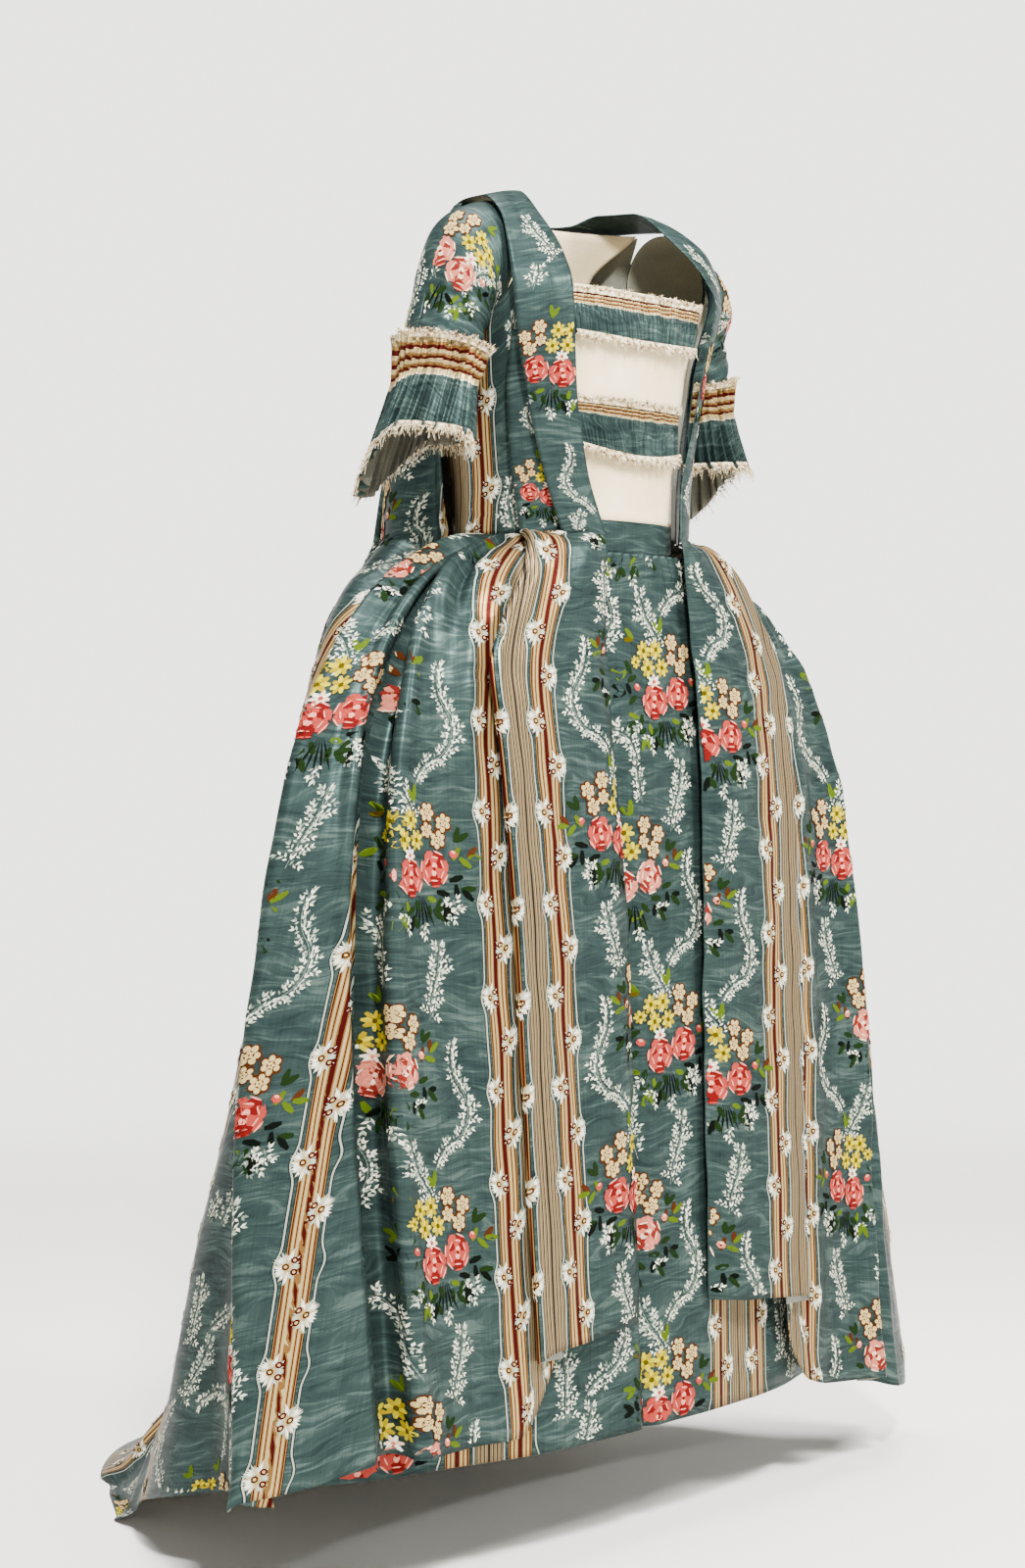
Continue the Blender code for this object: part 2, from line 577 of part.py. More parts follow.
def stomacher():
    """A stiffened linen front with two ruffled bands across it."""

    def front(u, v):
        height = STOMACHER_TOP + (STOMACHER_BOTTOM - STOMACHER_TOP) * v
        return on_chest((2 * u - 1) * stomacher_half(height), height, STOMACHER_LIFT)

    cloth("stomacher", 8, 6, front, LINEN)
    for band in RUFFLES:

        def ruffle(u, v, band=band):
            turn = 2 * u - 1
            height = band.top + (band.bottom - band.top) * v - band.sag * (1 - turn * turn) * v
            width = stomacher_half(height) - 0.012
            wave = RUFFLE_SWELL * v * math.sin(math.pi * 2 * band.waves * u)
            return on_chest(turn * width, height, RUFFLE_LIFT + 0.004 * v + wave)

        cloth(f"stomacher_ruffle_{band.name}", 28, 3, ruffle, STRIPE, THIN_WALL)


# ---------------------------------------------------------------- sleeves
# Each row is a ring of the sleeve: its centre, its lean from upright, and its half sizes.
Cuff = namedtuple("Cuff", "x y z lean half_rise half_depth")
SLEEVE = (
    Cuff(0.147, -0.007, 1.3085, -8, 0.0605, 0.0515),
    Cuff(0.172, -0.013, 1.298, 16, 0.0535, 0.0475),
    Cuff(0.188, -0.018, 1.273, 44, 0.0440, 0.0440),
    Cuff(0.198, -0.018, 1.243, 66, 0.0400, 0.0410),
    Cuff(0.2095, -0.018, 1.212, 78, 0.0380, 0.0390),
    Cuff(0.2155, -0.016, 1.186, 82, 0.0370, 0.0380),
)
FLOUNCE = (
    Cuff(0.2090, -0.018, 1.214, 78, 0.0446, 0.0456),
    Cuff(0.2130, -0.017, 1.194, 80, 0.0436, 0.0446),
    Cuff(0.2205, -0.014, 1.170, 82, 0.0445, 0.0460),
    Cuff(0.2285, -0.010, 1.145, 84, 0.0475, 0.0500),
    Cuff(0.2370, -0.006, 1.121, 86, 0.0510, 0.0550),
)
FLOUNCE_WAVES = 30
FLOUNCE_LENGTH = 0.098
ELBOW_DROP = 0.075  # how much longer the flounce is behind the elbow


def tube_point(table, turn, v, swell=0.0, side=LEFT):
    """A point of a sleeve: turn 0 to 1 round it from the top of the arm, v along it."""
    columns = list(zip(*table))
    ring = Cuff(*(spread(column, v) for column in columns))
    angle, lean = 2 * math.pi * turn, math.radians(ring.lean)
    rise = Vector((math.sin(lean), 0, math.cos(lean)))
    point = Vector((ring.x, ring.y, ring.z))
    point += rise * (ring.half_rise + swell) * math.cos(angle)
    point += Vector((0, 1, 0)) * (ring.half_depth + swell) * math.sin(angle)
    return Vector((point.x * side, point.y, point.z))


def elbow(turn):
    """1 behind the elbow, 0 at the inner bend of the arm."""
    return max(0.0, math.sin(2 * math.pi * turn) * 0.8 + math.cos(2 * math.pi * turn) * 0.35) ** 1.6


def flounce_envelope(u, v, side, out):
    """A point beside the flounce, which is longer behind the elbow."""
    point = tube_point(FLOUNCE, u, v, out, side)
    point.z -= ELBOW_DROP * elbow(u) * v**1.5
    return point


def flounce_point(u, v, side):
    """A point of the gathered flounce."""
    gather = 0.0020 + 0.0011 * abs(2 * v - 1)
    return flounce_envelope(u, v, side, gather * math.cos(math.pi * 2 * FLOUNCE_WAVES * u))


def sleeves():
    """Elbow sleeves, each with a gathered flounce."""
    for word, side in SIDES:

        def sleeve(u, v, side=side):
            return tube_point(SLEEVE, u, v, 0.0, side)

        def flounce(u, v, side=side):
            return flounce_point(u, v, side)

        cloth(f"sleeve_{word}", 16, 7, sleeve, SILK, tube=True)
        cloth(f"flounce_{word}", 2 * FLOUNCE_WAVES, 4, flounce, STRIPE, THIN_WALL, tube=True)


# ---------------------------------------------------------------- fringe
BRAID, BRAID_WALL = 0.0040, 0.0012
LOCK, LOCK_LEAN, LOCK_TAPER = 0.0115, 0.30, 0.30
UP, DOWN = -1, 1


def fringe(name, count, edge, hang, tube):
    """A narrow braid with a row of tapering locks of floss along its upper or lower side.

    edge(u, t, out) is a point beside the cloth's edge: u along it, t down it in metres, out off the cloth.
    """
    corners = ((-0.5, 0.0), (0.5, 0.0), (0.5, BRAID_WALL), (-0.5, BRAID_WALL), (-0.5, 0.0))
    form = bmesh.new()
    bmesh.ops.create_grid(form, x_segments=count, y_segments=len(corners) - 1, size=0.5)
    for vert in form.verts:
        down, out = corners[round((vert.co.y + 0.5) * (len(corners) - 1))]
        vert.co = edge(round((vert.co.x + 0.5) * count) / count, down * BRAID, out)
    bmesh.ops.remove_doubles(form, verts=form.verts, dist=1e-5)
    if not tube:
        bmesh.ops.holes_fill(form, edges=form.edges, sides=len(corners) - 1)
    bmesh.ops.recalc_face_normals(form, faces=form.faces)
    form.normal_update()

    def fall(u):
        """The direction down the cloth beside a point of its edge."""
        return (edge(u, BRAID, 0.0) - edge(u, 0.0, 0.0)).normalized()

    places = [((k + 0.5) / count, edge((k + 0.5) / count, 0.0, BRAID_WALL / 2)) for k in range(count)]
    roots = []
    for face in form.faces:
        u, _ = min(places, key=lambda item: (item[1] - face.calc_center_median()).length)
        if face.normal.dot(fall(u)) * hang > 0.7:
            roots.append(face)
    for face in bmesh.ops.extrude_discrete_faces(form, faces=roots)["faces"]:
        centre = face.calc_center_median()
        u, _ = min(places, key=lambda item: (item[1] - centre).length)
        out = (edge(u, 0.0, LOCK) - edge(u, 0.0, 0.0)).normalized()
        tip = centre + (out * LOCK_LEAN + fall(u) * hang) * LOCK
        for vert in face.verts:
            vert.co = tip + (vert.co - centre) * LOCK_TAPER
    for vert in form.verts:
        vert.co = posed(vert.co)
    mesh = bpy.data.meshes.new(name)
    form.to_mesh(mesh)
    form.free()
    made = bpy.data.objects.new(name, mesh)
    made.data.materials.append(material(name, FRINGE))
    made.parent = hanger
    gown.objects.link(made)
    return made


SLEEVE_LOCKS, STOMACHER_LOCKS = 24, 14
FLOUNCE_SWELL = 0.0046  # how far the gathers stand out, and the braid's chords fall in
RUFFLE_SWELL = 0.0022


def fringes():
    """Fly fringe along both edges of each flounce and of each band across the stomacher."""
    for word, side in SIDES:
        for place, v, hang in (("upper", 0.05, UP), ("lower", 0.95, DOWN)):

            def edge(u, t, out, v=v, side=side):
                long = FLOUNCE_LENGTH + ELBOW_DROP * elbow(u)
                clear = FLOUNCE_SWELL + THIN_WALL / 2 + SEAM_GAP
                return flounce_envelope(u, v + t / long, side, clear + out)

            fringe(f"flounce_fringe_{place}_{word}", SLEEVE_LOCKS, edge, hang, True)
    for band in RUFFLES:
        for place, v, hang in (("upper", 0.045, UP), ("lower", 0.955, DOWN)):

            def edge(u, t, out, v=v, band=band):
                down = v + t / (band.top - band.bottom)
                turn = 2 * u - 1
                height = band.top + (band.bottom - band.top) * down - band.sag * (1 - turn * turn) * down
                x = turn * (stomacher_half(height) - 0.012)
                lift = RUFFLE_LIFT + 0.004 * down + RUFFLE_SWELL * down + THIN_WALL / 2 + 2 * SEAM_GAP
                return on_chest(x, height, lift + out)

            fringe(f"stomacher_fringe_{band.name}_{place}", STOMACHER_LOCKS, edge, hang, False)


def main():
    petticoat()
    robe_skirt()
    robe_back()
    bodice()
    stomacher()
    sleeves()
    fringes()


for old in list(bpy.data.objects):
    bpy.data.objects.remove(old)
gown = bpy.data.collections.new("robe_a_la_francaise")
bpy.context.scene.collection.children.link(gown)
hanger = bpy.data.objects.new("floor_below_the_waist", None)
hanger.location.z = -WAIST_HEIGHT
gown.objects.link(hanger)
main()
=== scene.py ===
import math
import random
from collections import namedtuple

import bmesh
import bpy
import numpy as np
from mathutils import Matrix, Vector


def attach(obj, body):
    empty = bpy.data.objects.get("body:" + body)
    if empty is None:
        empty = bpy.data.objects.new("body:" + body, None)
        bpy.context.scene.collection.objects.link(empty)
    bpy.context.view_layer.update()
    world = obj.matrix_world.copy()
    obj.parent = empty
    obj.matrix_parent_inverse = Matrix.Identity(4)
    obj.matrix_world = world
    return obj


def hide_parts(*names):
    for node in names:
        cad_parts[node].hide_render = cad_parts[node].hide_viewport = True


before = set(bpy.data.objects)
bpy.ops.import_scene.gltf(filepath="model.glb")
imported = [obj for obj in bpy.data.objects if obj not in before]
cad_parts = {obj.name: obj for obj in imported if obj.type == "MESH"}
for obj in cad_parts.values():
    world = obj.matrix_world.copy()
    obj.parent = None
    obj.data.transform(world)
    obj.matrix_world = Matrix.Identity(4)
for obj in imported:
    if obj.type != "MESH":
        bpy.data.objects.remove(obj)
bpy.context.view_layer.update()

# ---------------------------------------------------------------- petticoat
# Two widths of the gown's figured silk, seamed at the sides and pleated on a plain band that ties round the
# waist. It falls over side hoops, and clears the floor by a hand.
WAIST_HEIGHT = 1.030
NECK = 1.372
RIGHT, LEFT = -1, 1
SIDES = (("right", RIGHT), ("left", LEFT))

# Outlines of the skirts, one row for each height above the floor. side_y is where the outline is widest.
Ring = namedtuple("Ring", "height half_width front_y back_y side_y round_front round_back", defaults=(0.0, 2.6, 2.0))
SKIRT_RINGS = (
    Ring(0.000, 0.560, -0.158, 0.170),
    Ring(0.077, 0.552, -0.156, 0.165),
    Ring(0.200, 0.530, -0.151, 0.155),
    Ring(0.316, 0.510, -0.146, 0.145),
    Ring(0.430, 0.491, -0.142, 0.135),
    Ring(0.600, 0.456, -0.137, 0.122),
    Ring(0.770, 0.415, -0.128, 0.114),
    Ring(0.870, 0.366, -0.119, 0.110),
    Ring(0.926, 0.317, -0.114, 0.107),
    Ring(0.969, 0.263, -0.112, 0.104),
    Ring(1.008, 0.184, -0.111, 0.100, 0.000, 2.5, 2.0),
    Ring(1.020, 0.148, -0.1105, 0.099, 0.000, 2.4, 2.0),
    Ring(1.030, 0.128, -0.110, 0.098, 0.000, 2.4, 2.0),
)


def smooth_read(keys, values, at):
    """A column read between its rows, on a curve that never overshoots. Rows may differ from point to point."""
    keys, values = np.asarray(keys, float), np.asarray(values, float)
    at = np.clip(np.asarray(at, float), keys[0], keys[-1])
    if values.ndim == 1:
        values = values.reshape((-1,) + (1,) * at.ndim) + np.zeros(at.shape)
    row = np.clip(np.searchsorted(keys, at, side="right") - 1, 0, len(keys) - 2)
    spans = np.diff(keys)
    slopes = np.diff(values, axis=0) / spans.reshape((-1,) + (1,) * at.ndim)
    before, after = slopes[:-1], slopes[1:]
    total = np.where(before + after == 0, 1.0, before + after)
    inner = np.where(before * after > 0, 2 * before * after / total, 0.0)
    tangents = np.concatenate([slopes[:1], inner, slopes[-1:]])

    def pick(rows, k):
        return np.take_along_axis(rows, k[None], 0)[0]

    span = spans[row]
    t = (at - keys[row]) / span
    return (
        pick(values, row) * (1 + 2 * t) * (1 - t) ** 2
        + pick(tangents, row) * span * t * (1 - t) ** 2
        + pick(values, row + 1) * t * t * (3 - 2 * t)
        + pick(tangents, row + 1) * span * t * t * (t - 1)
    )


# A form is read at this many levels, and at this many steps over each quarter turn.
LEVELS, QUARTER = 300, 120
JUST_INSIDE = 0.001


def ringed(rings):
    """The form that a table of rings makes: points and outward directions for every height and turn."""
    heights = [ring.height for ring in rings]
    levels = np.linspace(heights[0], heights[-1], LEVELS)
    column = {name: smooth_read(heights, [getattr(ring, name) for ring in rings], levels) for name in Ring._fields}
    angles = np.linspace(0, math.pi, 2 * QUARTER + 1)
    turns = np.linspace(0, 2, 2 * QUARTER + 1)
    cos = np.cos(angles)
    front = angles <= math.pi / 2
    points = np.zeros((LEVELS, len(turns), 3))
    side, total = np.zeros(LEVELS), np.zeros(LEVELS)
    for k in range(LEVELS):
        power = np.where(front, 2 / column["round_front"][k], 2 / column["round_back"][k])
        ahead, behind = column["side_y"][k] - column["front_y"][k], column["back_y"][k] - column["side_y"][k]
        x = column["half_width"][k] * np.abs(np.sin(angles)) ** power
        y = column["side_y"][k] - np.sign(cos) * np.where(front, ahead, behind) * np.abs(cos) ** power
        way = np.concatenate([[0], np.cumsum(np.hypot(np.diff(x), np.diff(y)))])
        side[k], total[k] = way[QUARTER], way[-1]
        at = np.where(turns <= 1, turns * side[k], side[k] + (turns - 1) * (total[k] - side[k]))
        points[k, :, 0], points[k, :, 1] = np.interp(at, way, x), np.interp(at, way, y)
        points[k, :, 2] = levels[k]
    off = np.cross(np.gradient(points, axis=1), np.gradient(points, axis=0))
    off /= np.linalg.norm(off, axis=2)[..., None]
    return dict(levels=levels, points=points, off=off, side=side, total=total)


def side_way(form, height):
    """How far round the side lies from the front centre."""
    return np.interp(height, form["levels"], form["side"])


def total_way(form, height):
    """How far round the back centre lies from the front centre."""
    return np.interp(height, form["levels"], form["total"])


def on_form(form, way, height, lift, side):
    """The points that far round a form from the front centre, lifted off it, on the side's own side."""
    reach, total = side_way(form, height), total_way(form, height)
    distance = np.abs(way)
    turn = np.where(distance <= reach, distance / reach, 1 + (distance - reach) / (total - reach))
    lowest, second = form["levels"][:2]
    row = np.clip((height - lowest) / (second - lowest), 0, LEVELS - 1 - JUST_INSIDE)
    column = np.clip(turn * QUARTER, 0, 2 * QUARTER - JUST_INSIDE)
    j, i = row.astype(int), column.astype(int)
    f, g = (row - j)[..., None], (column - i)[..., None]

    def between(table):
        low = table[j, i] * (1 - g) + table[j, i + 1] * g
        high = table[j + 1, i] * (1 - g) + table[j + 1, i + 1] * g
        return low * (1 - f) + high * f

    point, off = between(form["points"]), between(form["off"])
    # At the floor, the waist and the neck the cloth is lifted level, so that seams keep their height.
    tilt = np.minimum(height / 0.20, np.abs(WAIST_HEIGHT - height) / 0.035)
    off[..., 2] *= np.minimum(1.0, np.minimum(tilt, np.abs(NECK - height) / 0.05))
    off /= np.linalg.norm(off, axis=-1)[..., None]
    point = point + off * np.asarray(lift)[..., None]
    point[..., 0] *= np.where(np.asarray(way) < 0, -side, side)
    return point


def halved(points, turn):
    """A whole panel from the rule for its left half: a turn below 0 goes to the wearer's right."""
    points[..., 0] *= np.sign(turn + 1e-9)
    return points


SHOULDER_LOW, SHOULDER_RISE = 1.20, 0.12
SHOULDER_OUT, SHOULDER_FORWARD, SHOULDER_FROM = 0.018, 0.012, 0.10


def posed(points):
    """The gown as it hangs: the waist at the origin, the left shoulder a little out and forward."""
    share = np.clip((points[..., 2] - SHOULDER_LOW) / SHOULDER_RISE, 0, 1)
    share = share * share * (3 - 2 * share) * np.clip(points[..., 0] / SHOULDER_FROM, 0, 1)
    moved = points.copy()
    moved[..., 0] += SHOULDER_OUT * share
    moved[..., 1] -= SHOULDER_FORWARD * share
    moved[..., 2] -= WAIST_HEIGHT
    return moved


def linear(red, green, blue):
    """A dye's colour, given in the 0 to 255 of a shade card, as the renderer wants it."""
    parts = (red / 255, green / 255, blue / 255)
    return tuple(c / 12.92 if c <= 0.04045 else ((c + 0.055) / 1.055) ** 2.4 for c in parts) + (1.0,)


def feed(tree, made, **inputs):
    """Sets or links a node's inputs, named with underscores for spaces, or in0, in1 by place."""
    for name, value in inputs.items():
        by_place = name[:2] == "in" and name[2:].isdigit()
        socket = made.inputs[int(name[2:]) if by_place else name.replace("_", " ")]
        if isinstance(value, bpy.types.Node):
            value = value.outputs[0]
        if isinstance(value, bpy.types.NodeSocket):
            tree.links.new(value, socket)
        else:
            socket.default_value = value
    return made


def node(tree, kind, settings=None, **inputs):
    """Adds a shader node. An input that is a node takes that node's first output."""
    made = tree.nodes.new("ShaderNode" + kind)
    for name, value in (settings or {}).items():
        setattr(made, name, value)
    return feed(tree, made, **inputs)


def maths(tree, operation, *values, kind="Math"):
    """One sum on one, two or three values."""
    return node(tree, kind, {"operation": operation}, **{f"in{k}": value for k, value in enumerate(values)})


def remap(tree, value, low, high, to_low=0.0, to_high=1.0, **settings):
    """A value taken from one range to another, and held at its ends."""
    return node(tree, "MapRange", settings, in0=value, in1=low, in2=high, in3=to_low, in4=to_high)


def mix(tree, share, under, over, blend="MIX"):
    """One colour laid over another by a share."""
    settings = {"data_type": "RGBA", "blend_type": blend}
    return node(tree, "Mix", settings, in0=share, in6=under, in7=over).outputs[2]


def streaks(tree, place, across, down, detail, **more):
    """Soft noise, so many spots to a metre across the cloth and down it."""
    stretched = node(tree, "Mapping", Vector=place, Scale=(across, down, 1.0))
    return node(tree, "TexNoise", {"noise_dimensions": "2D"}, Vector=stretched, Scale=1.0, Detail=detail, **more)


def ramp(tree, fac, stops, mode="LINEAR"):
    """A colour ramp whose stops are (place, colour)."""
    made = node(tree, "ValToRGB", in0=fac)
    made.color_ramp.interpolation = mode
    places = made.color_ramp.elements
    while len(places) < len(stops):
        places.new(1.0)
    for element, (place, _) in zip(places, stops):
        element.position = place
    for element, (_, colour) in zip(places, stops):
        element.color = colour
    return made


def shader_group(name, inputs, outputs):
    """An empty node group with named sockets, its input node and its output node."""
    group = bpy.data.node_groups.new(name, "ShaderNodeTree")
    for label, kind, value in inputs:
        socket = group.interface.new_socket(label, in_out="INPUT", socket_type="NodeSocket" + kind)
        if value is not None:
            socket.default_value = value
    for label, kind in outputs:
        group.interface.new_socket(label, in_out="OUTPUT", socket_type="NodeSocket" + kind)
    return group, group.nodes.new("NodeGroupInput"), group.nodes.new("NodeGroupOutput")


# Watered silk: the ribs of the cloth were pressed flat in short wavering streaks across its width.
watering, given, result = shader_group(
    "watered_silk",
    (("Cloth", "Vector", None), ("Dark", "Color", (0, 0, 0, 1)), ("Middle", "Color", (0, 0, 0, 1)),
     ("Light", "Color", (1, 1, 1, 1))),
    (("Color", "Color"), ("Roughness", "Float"), ("Height", "Float")))
on_cloth = given.outputs["Cloth"]
sway = maths(watering, "MULTIPLY", streaks(watering, on_cloth, 11.0, 30.0, 1.0), 0.030)
sway = node(watering, "CombineXYZ", in1=sway)
swayed = maths(watering, "ADD", on_cloth, sway, kind="VectorMath")
streak = streaks(watering, swayed, 26.0, 210.0, 5.0, Roughness=0.62, Distortion=0.5)
cloud = streaks(watering, swayed, 9.0, 26.0, 3.0, Roughness=0.5)
warp = streaks(watering, on_cloth, 420.0, 14.0, 2.0)
watered = 0.0
for layer, weight in ((cloud, 0.34), (streak, 0.70), (warp, 0.12)):
    watered = maths(watering, "MULTIPLY_ADD", layer, weight, watered)
shade = remap(watering, watered, 0.38, 0.84)
tone = mix(watering, remap(watering, shade, 0.0, 0.50), given.outputs["Dark"], given.outputs["Middle"])
tone = mix(watering, remap(watering, shade, 0.50, 1.0), tone, given.outputs["Light"])
feed(watering, result, Color=tone, Roughness=remap(watering, shade, 0.0, 1.0, 0.46, 0.28), Height=watered)

# The stripes are woven in pairs: fine pinstripes between them, and a white cord that bows round the knots along
# both edges of each.
REPEAT_ACROSS = 0.390
STRIPE_AT, STRIPE_HALF, CORD_AT, CORD_BOW = 0.036, 0.0145, 0.0188, 0.0050
CORD_HALF, CORD_SHADOW_HALF, PIN_EVERY, PINS_CLEAR = 0.0009, 0.0019, 0.0042, 0.0010
KNOT_EVERY = 0.090
CREAM, GOLD, RUST, DARK_LINE = linear(162, 142, 98), linear(108, 78, 40), linear(56, 12, 10), linear(10, 8, 6)
BUFF, CORD_WHITE, CORD_SHADOW = linear(136, 104, 58), linear(152, 156, 142), linear(16, 24, 25)
banding, given, result = shader_group(
    "woven_stripes", (("Cloth", "Vector", None), ("Ground", "Color", (0, 0, 0, 1))), (("Color", "Color"),))
place = node(banding, "SeparateXYZ", in0=given.outputs["Cloth"])
apart = maths(banding, "PINGPONG", place.outputs[0], REPEAT_ACROSS / 2)
off_stripe = maths(banding, "SUBTRACT", apart, STRIPE_AT)
from_stripe = maths(banding, "ABSOLUTE", off_stripe)
wave = maths(banding, "COSINE", maths(banding, "MULTIPLY", place.outputs[1], 2 * math.pi / KNOT_EVERY))
wave = maths(banding, "MULTIPLY", wave, maths(banding, "SIGN", off_stripe))
wave.use_clamp = True
bow = maths(banding, "MULTIPLY", maths(banding, "POWER", wave, 3.0), CORD_BOW)
to_cord = maths(banding, "SUBTRACT", maths(banding, "SUBTRACT", from_stripe, bow), CORD_AT)
to_cord = maths(banding, "ABSOLUTE", to_cord)
stripe_colour = ramp(banding, remap(banding, from_stripe, 0.0, STRIPE_HALF), [
    (0.00, RUST), (0.16, GOLD), (0.24, CREAM), (0.40, BUFF), (0.46, RUST), (0.53, BUFF), (0.58, CREAM),
    (0.72, GOLD), (0.80, RUST), (0.89, BUFF), (0.94, DARK_LINE)], "CONSTANT")
pins = (linear(32, 28, 24), linear(118, 102, 74), linear(84, 58, 34), linear(140, 124, 94))
pin_colour = ramp(banding, maths(banding, "FRACT", maths(banding, "MULTIPLY", apart, 1 / PIN_EVERY)),
                  list(zip((0.00, 0.30, 0.52, 0.70), pins)), "CONSTANT")
banded = given.outputs["Ground"]
for distance, limit, colour in (
        (apart, STRIPE_AT - CORD_AT - PINS_CLEAR, pin_colour), (to_cord, CORD_SHADOW_HALF, CORD_SHADOW),
        (to_cord, CORD_HALF, CORD_WHITE), (from_stripe, STRIPE_HALF, stripe_colour)):
    banded = mix(banding, maths(banding, "LESS_THAN", distance, limit), banded, colour)
feed(banding, result, Color=banded)

BLUE_DARK, BLUE_MIDDLE, BLUE_LIGHT = linear(26, 37, 37), linear(44, 58, 56), linear(80, 96, 90)


def new_material(name):
    """A material, its node tree and its shader."""
    made = bpy.data.materials.new(name)
    made.use_nodes = True
    return made, made.node_tree, made.node_tree.nodes["Principled BSDF"]


def blue_sheen(tree, shader, relief, depth):
    """Gives a shader the sheen and relief of the watered silk. Returns the cloth's threads and the colour."""
    cloth = node(tree, "UVMap", {"uv_map": "cloth"})
    water = node(tree, "Group", {"node_tree": watering}, Cloth=cloth, Dark=BLUE_DARK, Middle=BLUE_MIDDLE,
                 Light=BLUE_LIGHT)
    bump = node(tree, "Bump", Height=water.outputs["Height"], Strength=relief, Distance=depth)
    feed(tree, shader, Roughness=water.outputs["Roughness"], Normal=bump, Metallic=0.4, Specular_IOR_Level=0.08,
         Specular_Tint=(0.1, 0.1, 0.1, 1.0))
    return cloth, water.outputs["Color"]


def silk(name, striped):
    """Figured silk: watered blue-green ground, with or without its woven stripes."""
    made, tree, shader = new_material(name)
    cloth, colour = blue_sheen(tree, shader, 0.25, 0.0010)
    if striped:
        colour = node(tree, "Group", {"node_tree": banding}, Cloth=cloth, Ground=colour)
    feed(tree, shader, Base_Color=colour)
    return made


def plain_weave(name, dark, light, scale=900.0, rough=0.85):
    """A plain woven cloth of two close shades."""
    made, tree, shader = new_material(name)
    cloth = node(tree, "UVMap", {"uv_map": "cloth"})
    threads = node(tree, "TexNoise", {"noise_dimensions": "2D"}, Vector=cloth, Scale=scale, Detail=2.0)
    soil = node(tree, "TexNoise", {"noise_dimensions": "2D"}, Vector=cloth, Scale=14.0, Detail=4.0)
    tone = maths(tree, "MULTIPLY_ADD", threads, 0.5, maths(tree, "MULTIPLY_ADD", soil, 0.6, -0.05))
    bump = node(tree, "Bump", Height=threads, Strength=0.35, Distance=0.0004)
    feed(tree, shader, Base_Color=ramp(tree, tone, [(0.30, dark), (0.70, light)]), Normal=bump, Roughness=rough,
         Sheen_Weight=0.15)
    return made


striped_silk = silk("figured_silk_striped", True)
blue_silk = silk("figured_silk_ground", False)
lining = plain_weave("back_of_the_silk", linear(84, 86, 76), linear(128, 126, 108), 700.0, 0.7)

# A width of cloth on a piece: the columns it covers, the column it is measured from, its place there across
# the loom, which way the loom's width runs, and how fast the threads slant. A lone stripe has ground on both
# sides of it, and its width is measured from its middle.
Width = namedtuple("Width", "first last measured_from loom_at runs slant lone", defaults=(False,))
# A piece cut from the middle of one width.
WHOLE = (Width(0.0, 1.0, 0.5, 0.2, 1, 0.0),)
# A width as it lies on its piece: its columns, and each point's place across the loom and down from the top.
# threads_at is the same place across the loom, folded over at a lone stripe.
Laid = namedtuple("Laid", "first last loom fall threads_at")
# A soft trough or ridge pressed into the cloth by hand or by hanging: its middle, length, lean and width.
Crease = namedtuple("Crease", "across down length lean width depth")
sheets = {}


def creased(u, v, points, creases):
    """How far the creases move the cloth in or out."""
    wide = np.linalg.norm(np.diff(points, axis=1), axis=2).sum(axis=1).mean()
    high = np.linalg.norm(np.diff(points, axis=0), axis=2).sum(axis=0).mean()
    moved = np.zeros(u.shape)
    for crease in creases:
        x, y = (u - crease.across) * wide, (v - crease.down) * high
        lean = math.radians(crease.lean)
        along, beside = x * math.cos(lean) + y * math.sin(lean), -x * math.sin(lean) + y * math.cos(lean)
        bend = 0.12 * along * along / crease.length
        trough = np.exp(-((beside - bend) / crease.width) ** 2)
        moved += crease.depth * trough * np.exp(-(2 * along / crease.length) ** 4)
    return moved


def in_scene(made):
    """Puts a new object in the scene."""
    bpy.context.scene.collection.objects.link(made)
    return made


def meshed(name, form, *finishes):
    """Turns worked geometry into a mesh object of that name."""
    mesh = bpy.data.meshes.new(name)
    form.to_mesh(mesh)
    form.free()
    for finish in finishes:
        mesh.materials.append(finish)
    return in_scene(bpy.data.objects.new(name, mesh))


def lengths(points, axis):
    """How far along its row or its column each point lies."""
    return np.insert(np.cumsum(np.linalg.norm(np.diff(points, axis=axis), axis=2), axis=axis), 0, 0.0, axis=axis)


# No cloth is laid lower than this over the floor.
OFF_FLOOR = 0.0005
SILK_THICK, TRIMMING_THICK = 0.0012, 0.0008


